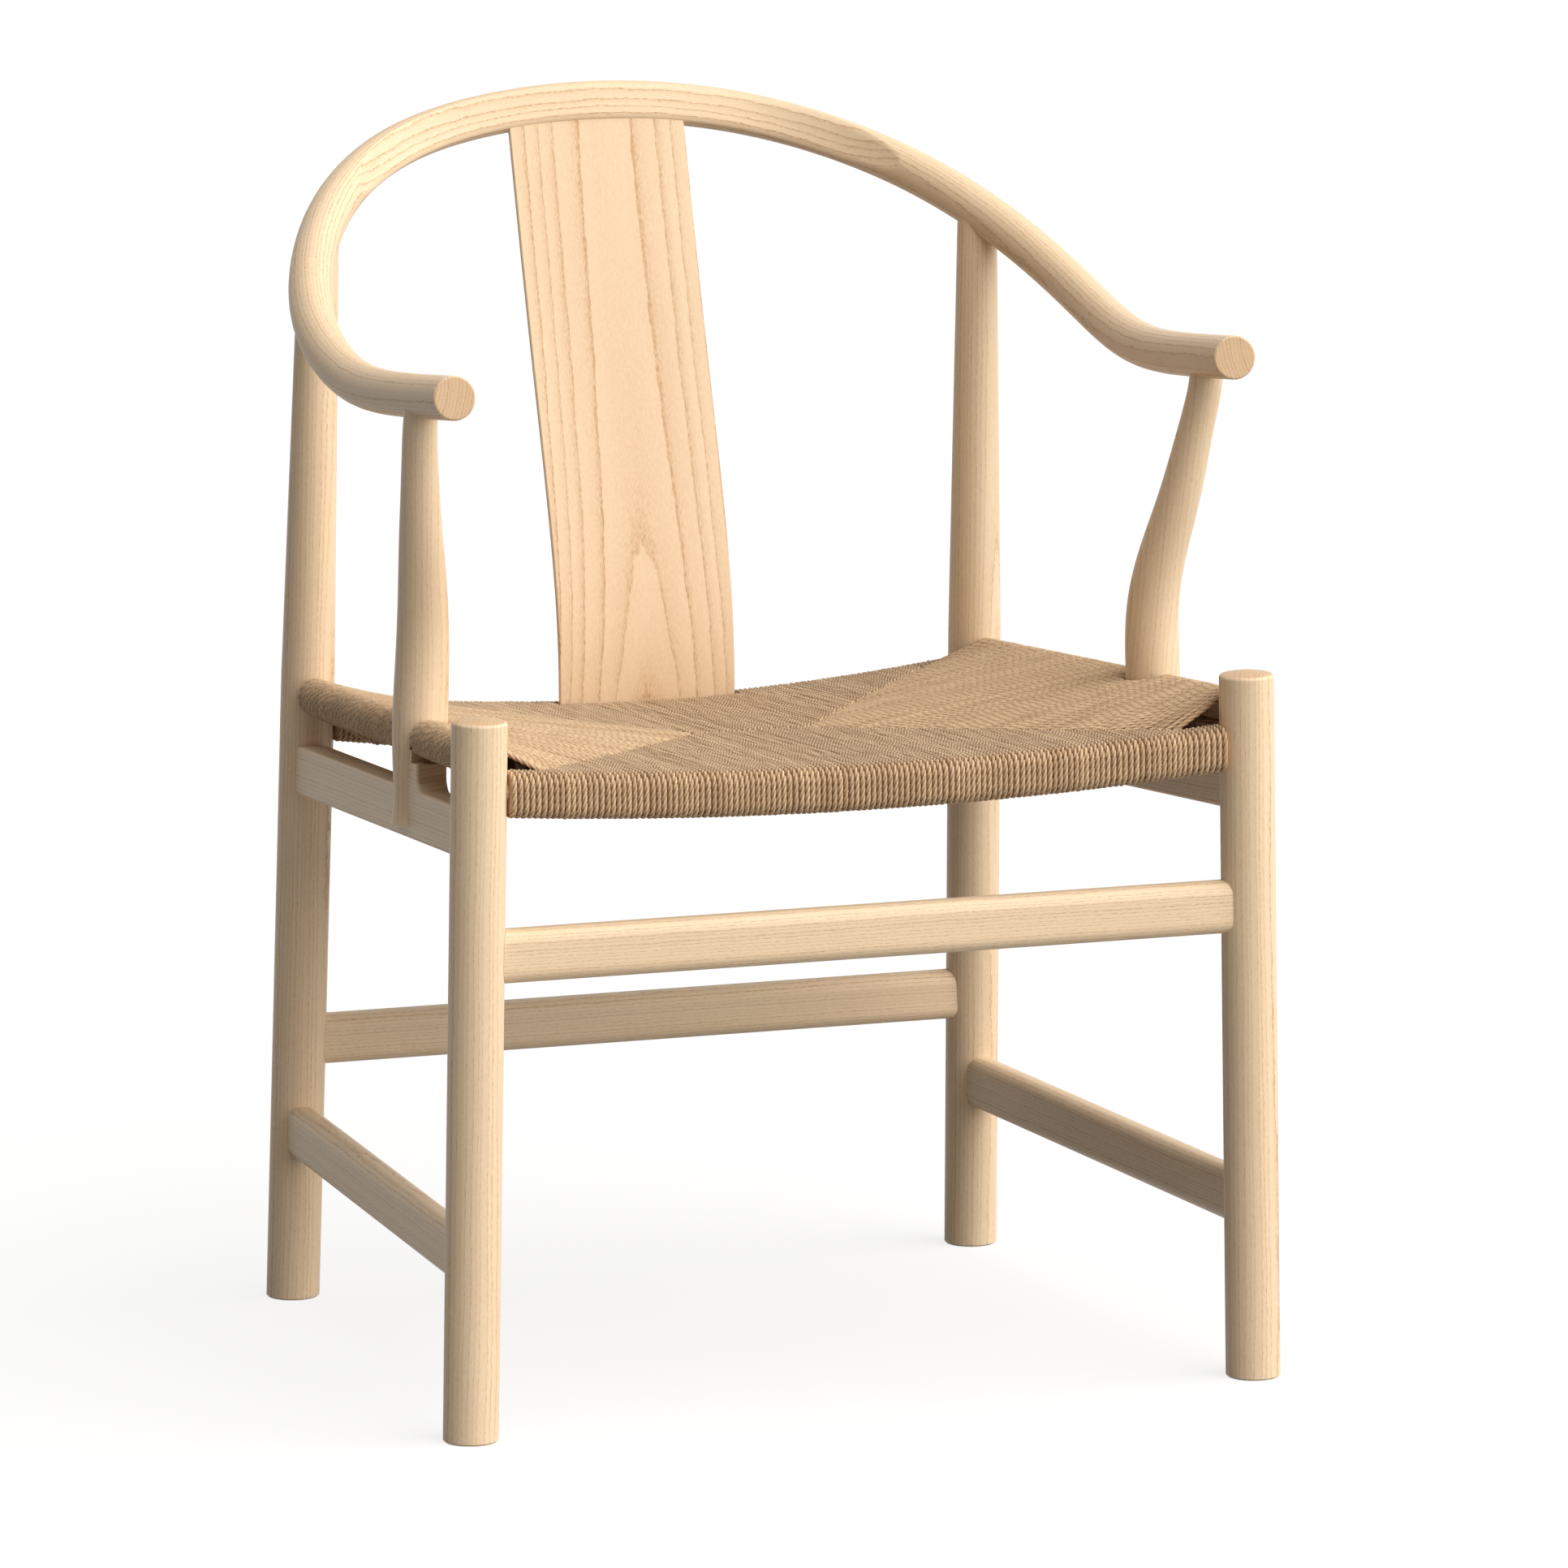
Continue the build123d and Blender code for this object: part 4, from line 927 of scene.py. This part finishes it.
pad_places = list(np.linspace(pad_ends[0], seam_apex[1], pad_half_stations))
pad_places += list(np.linspace(seam_apex[1], pad_ends[1], pad_half_stations))[1:]
for side_name, side_sign in (("left", -1), ("right", 1)):
    stations = []
    for y in pad_places:
        end = front_end if y <= seam_apex[1] else rear_end
        share = (y - end.corner[1]) / (seam_apex[1] - end.corner[1])
        seam_x = seam(end, share)[0]
        rail = side_rail_at(y)
        outer = rail[0] - pad_clear
        way = (outer - seam_x) / (rail[0] - seam_x)
        on_seam, by_rail = (side_sign * (seam_x + pad_edge), y), (side_sign * outer, y)
        reach = side_rail_radius + cord_seat
        stations.append(station(end, share, on_seam, by_rail, way, rail[2], reach))
    packing("packing_" + side_name, stations)

# ---- Tacks ------------------------------------------------------------------------------------
# Small steel tacks inside the seat that hold the ends of the cord to the rails.
tack_grey = (0.42, 0.41, 0.40, 1.0)

tack_steel, tack_tree = new_material("tack steel")
tack_here = wire(tack_tree, "ShaderNodeTexCoord", -800, 0).outputs[3]
tack_dulling = wire(tack_tree, "ShaderNodeTexNoise", -600, 0, in_0=tack_here, in_2=600.0)
tack_gloss = wire(tack_tree, "ShaderNodeMapRange", -400, 0,
                  in_0=tack_dulling.outputs[0], in_3=0.3, in_4=0.5)
tack_shader = wire(tack_tree, "ShaderNodeBsdfPrincipled", 0, 0,
                   in_0=tack_grey, in_2=tack_gloss.outputs[0])
tack_shader.inputs["Metallic"].default_value = 1.0
wire(tack_tree, "ShaderNodeOutputMaterial", 300, 0, in_0=tack_shader.outputs[0])
finish_with("cord_tacks", tack_steel)

# ---- Studio -----------------------------------------------------------------------------------
# A plain pale floor that runs out to white, one broad soft lamp from the upper right and a soft
# even fill from all round.
floor_reach = 30
floor_grey = (0.21, 0.21, 0.21, 1.0)
floor_glow = 0.80
key_strength = 4.6
key_breadth = radians(92)
key_color = (1.0, 0.985, 0.96)
key_from = Vector((0.60, -0.66, 0.44))
fill_color = (1.0, 0.975, 0.94, 1.0)
fill_overhead = 1.22
fill_around = 0.088
white = (1.0, 1.0, 1.0, 1.0)


def shown(tree):
    """1 where the camera, a reflection or a clear piece looks, and 0 for light on the object."""
    ray = wire(tree, "ShaderNodeLightPath", -800, 200)
    direct = wire(tree, "ShaderNodeMath", -600, 200, operation="ADD", use_clamp=True,
                  in_0=ray.outputs[0], in_1=ray.outputs[3])
    return wire(tree, "ShaderNodeMath", -440, 200, operation="ADD", use_clamp=True,
                in_0=direct.outputs[0], in_1=ray.outputs[6]).outputs[0]


corners = [(x * floor_reach, y * floor_reach, 0) for x, y in ((-1, -1), (1, -1), (1, 1), (-1, 1))]
floor = mesh_piece("studio_floor", corners, [(0, 1, 2, 3)], smooth=False)
floor_paint, floor_tree = new_material("floor paint")
glow = wire(floor_tree, "ShaderNodeMath", -280, 200, operation="MULTIPLY",
            in_0=shown(floor_tree), in_1=floor_glow)
floor_white = wire(floor_tree, "ShaderNodeEmission", -100, 200, in_0=white, in_1=glow.outputs[0])
floor_matt = wire(floor_tree, "ShaderNodeBsdfDiffuse", -100, 0, in_0=floor_grey)
floor_sum = wire(floor_tree, "ShaderNodeAddShader", 100, 100,
                 in_0=floor_white.outputs[0], in_1=floor_matt.outputs[0])
wire(floor_tree, "ShaderNodeOutputMaterial", 300, 100, in_0=floor_sum.outputs[0])
floor.data.materials.append(floor_paint)

key = bpy.data.objects.new("key lamp", bpy.data.lights.new("key lamp", "SUN"))
key.data.energy = key_strength
key.data.angle = key_breadth
key.data.color = key_color
key.rotation_euler = key_from.to_track_quat("Z", "Y").to_euler()
bpy.context.scene.collection.objects.link(key)

world = bpy.data.worlds.new("studio")
bpy.context.scene.world = world
world.use_nodes = True
sky = world.node_tree
sky.nodes.clear()
sky_way = wire(sky, "ShaderNodeTexCoord", -1200, 0)
sky_split = wire(sky, "ShaderNodeSeparateXYZ", -1000, 0, in_0=sky_way.outputs[0])
sky_height = wire(sky, "ShaderNodeMath", -800, 0, operation="MAXIMUM",
                  in_0=sky_split.outputs[2], in_1=0.0)
sky_crown = wire(sky, "ShaderNodeMath", -640, 0, operation="POWER",
                 in_0=sky_height.outputs[0], in_1=5.0)
sky_level = wire(sky, "ShaderNodeMath", -480, 0, operation="MULTIPLY_ADD",
                 in_0=sky_crown.outputs[0], in_1=fill_overhead, in_2=fill_around)
fill = wire(sky, "ShaderNodeBackground", -200, 0, in_0=fill_color, in_1=sky_level.outputs[0])
backdrop = wire(sky, "ShaderNodeBackground", -200, -160, in_0=white, in_1=1.0)
sky_mix = wire(sky, "ShaderNodeMixShader", 60, 0,
               in_0=shown(sky), in_1=fill.outputs[0], in_2=backdrop.outputs[0])
wire(sky, "ShaderNodeOutputWorld", 260, 0, in_0=sky_mix.outputs[0])
bpy.context.scene.view_settings.view_transform = "Standard"

# ---- Camera -----------------------------------------------------------------------------------
# A long lens from the front left, above the chair.
sensor_width = 36.0
frame_width, focal_length = 1932, 14665.8  # in pixels
camera_place = (-2.5876, -7.1208, 1.7026)
camera_down, camera_turn = 10.07, -20.25  # degrees

camera = bpy.data.objects.new("camera", bpy.data.cameras.new("camera"))
camera.data.sensor_width = sensor_width
camera.data.lens = sensor_width * focal_length / frame_width
camera.data.clip_end = 200.0
camera.location = camera_place
camera.rotation_euler = (radians(90 - camera_down), 0, radians(camera_turn))
bpy.context.scene.collection.objects.link(camera)
bpy.context.scene.camera = camera
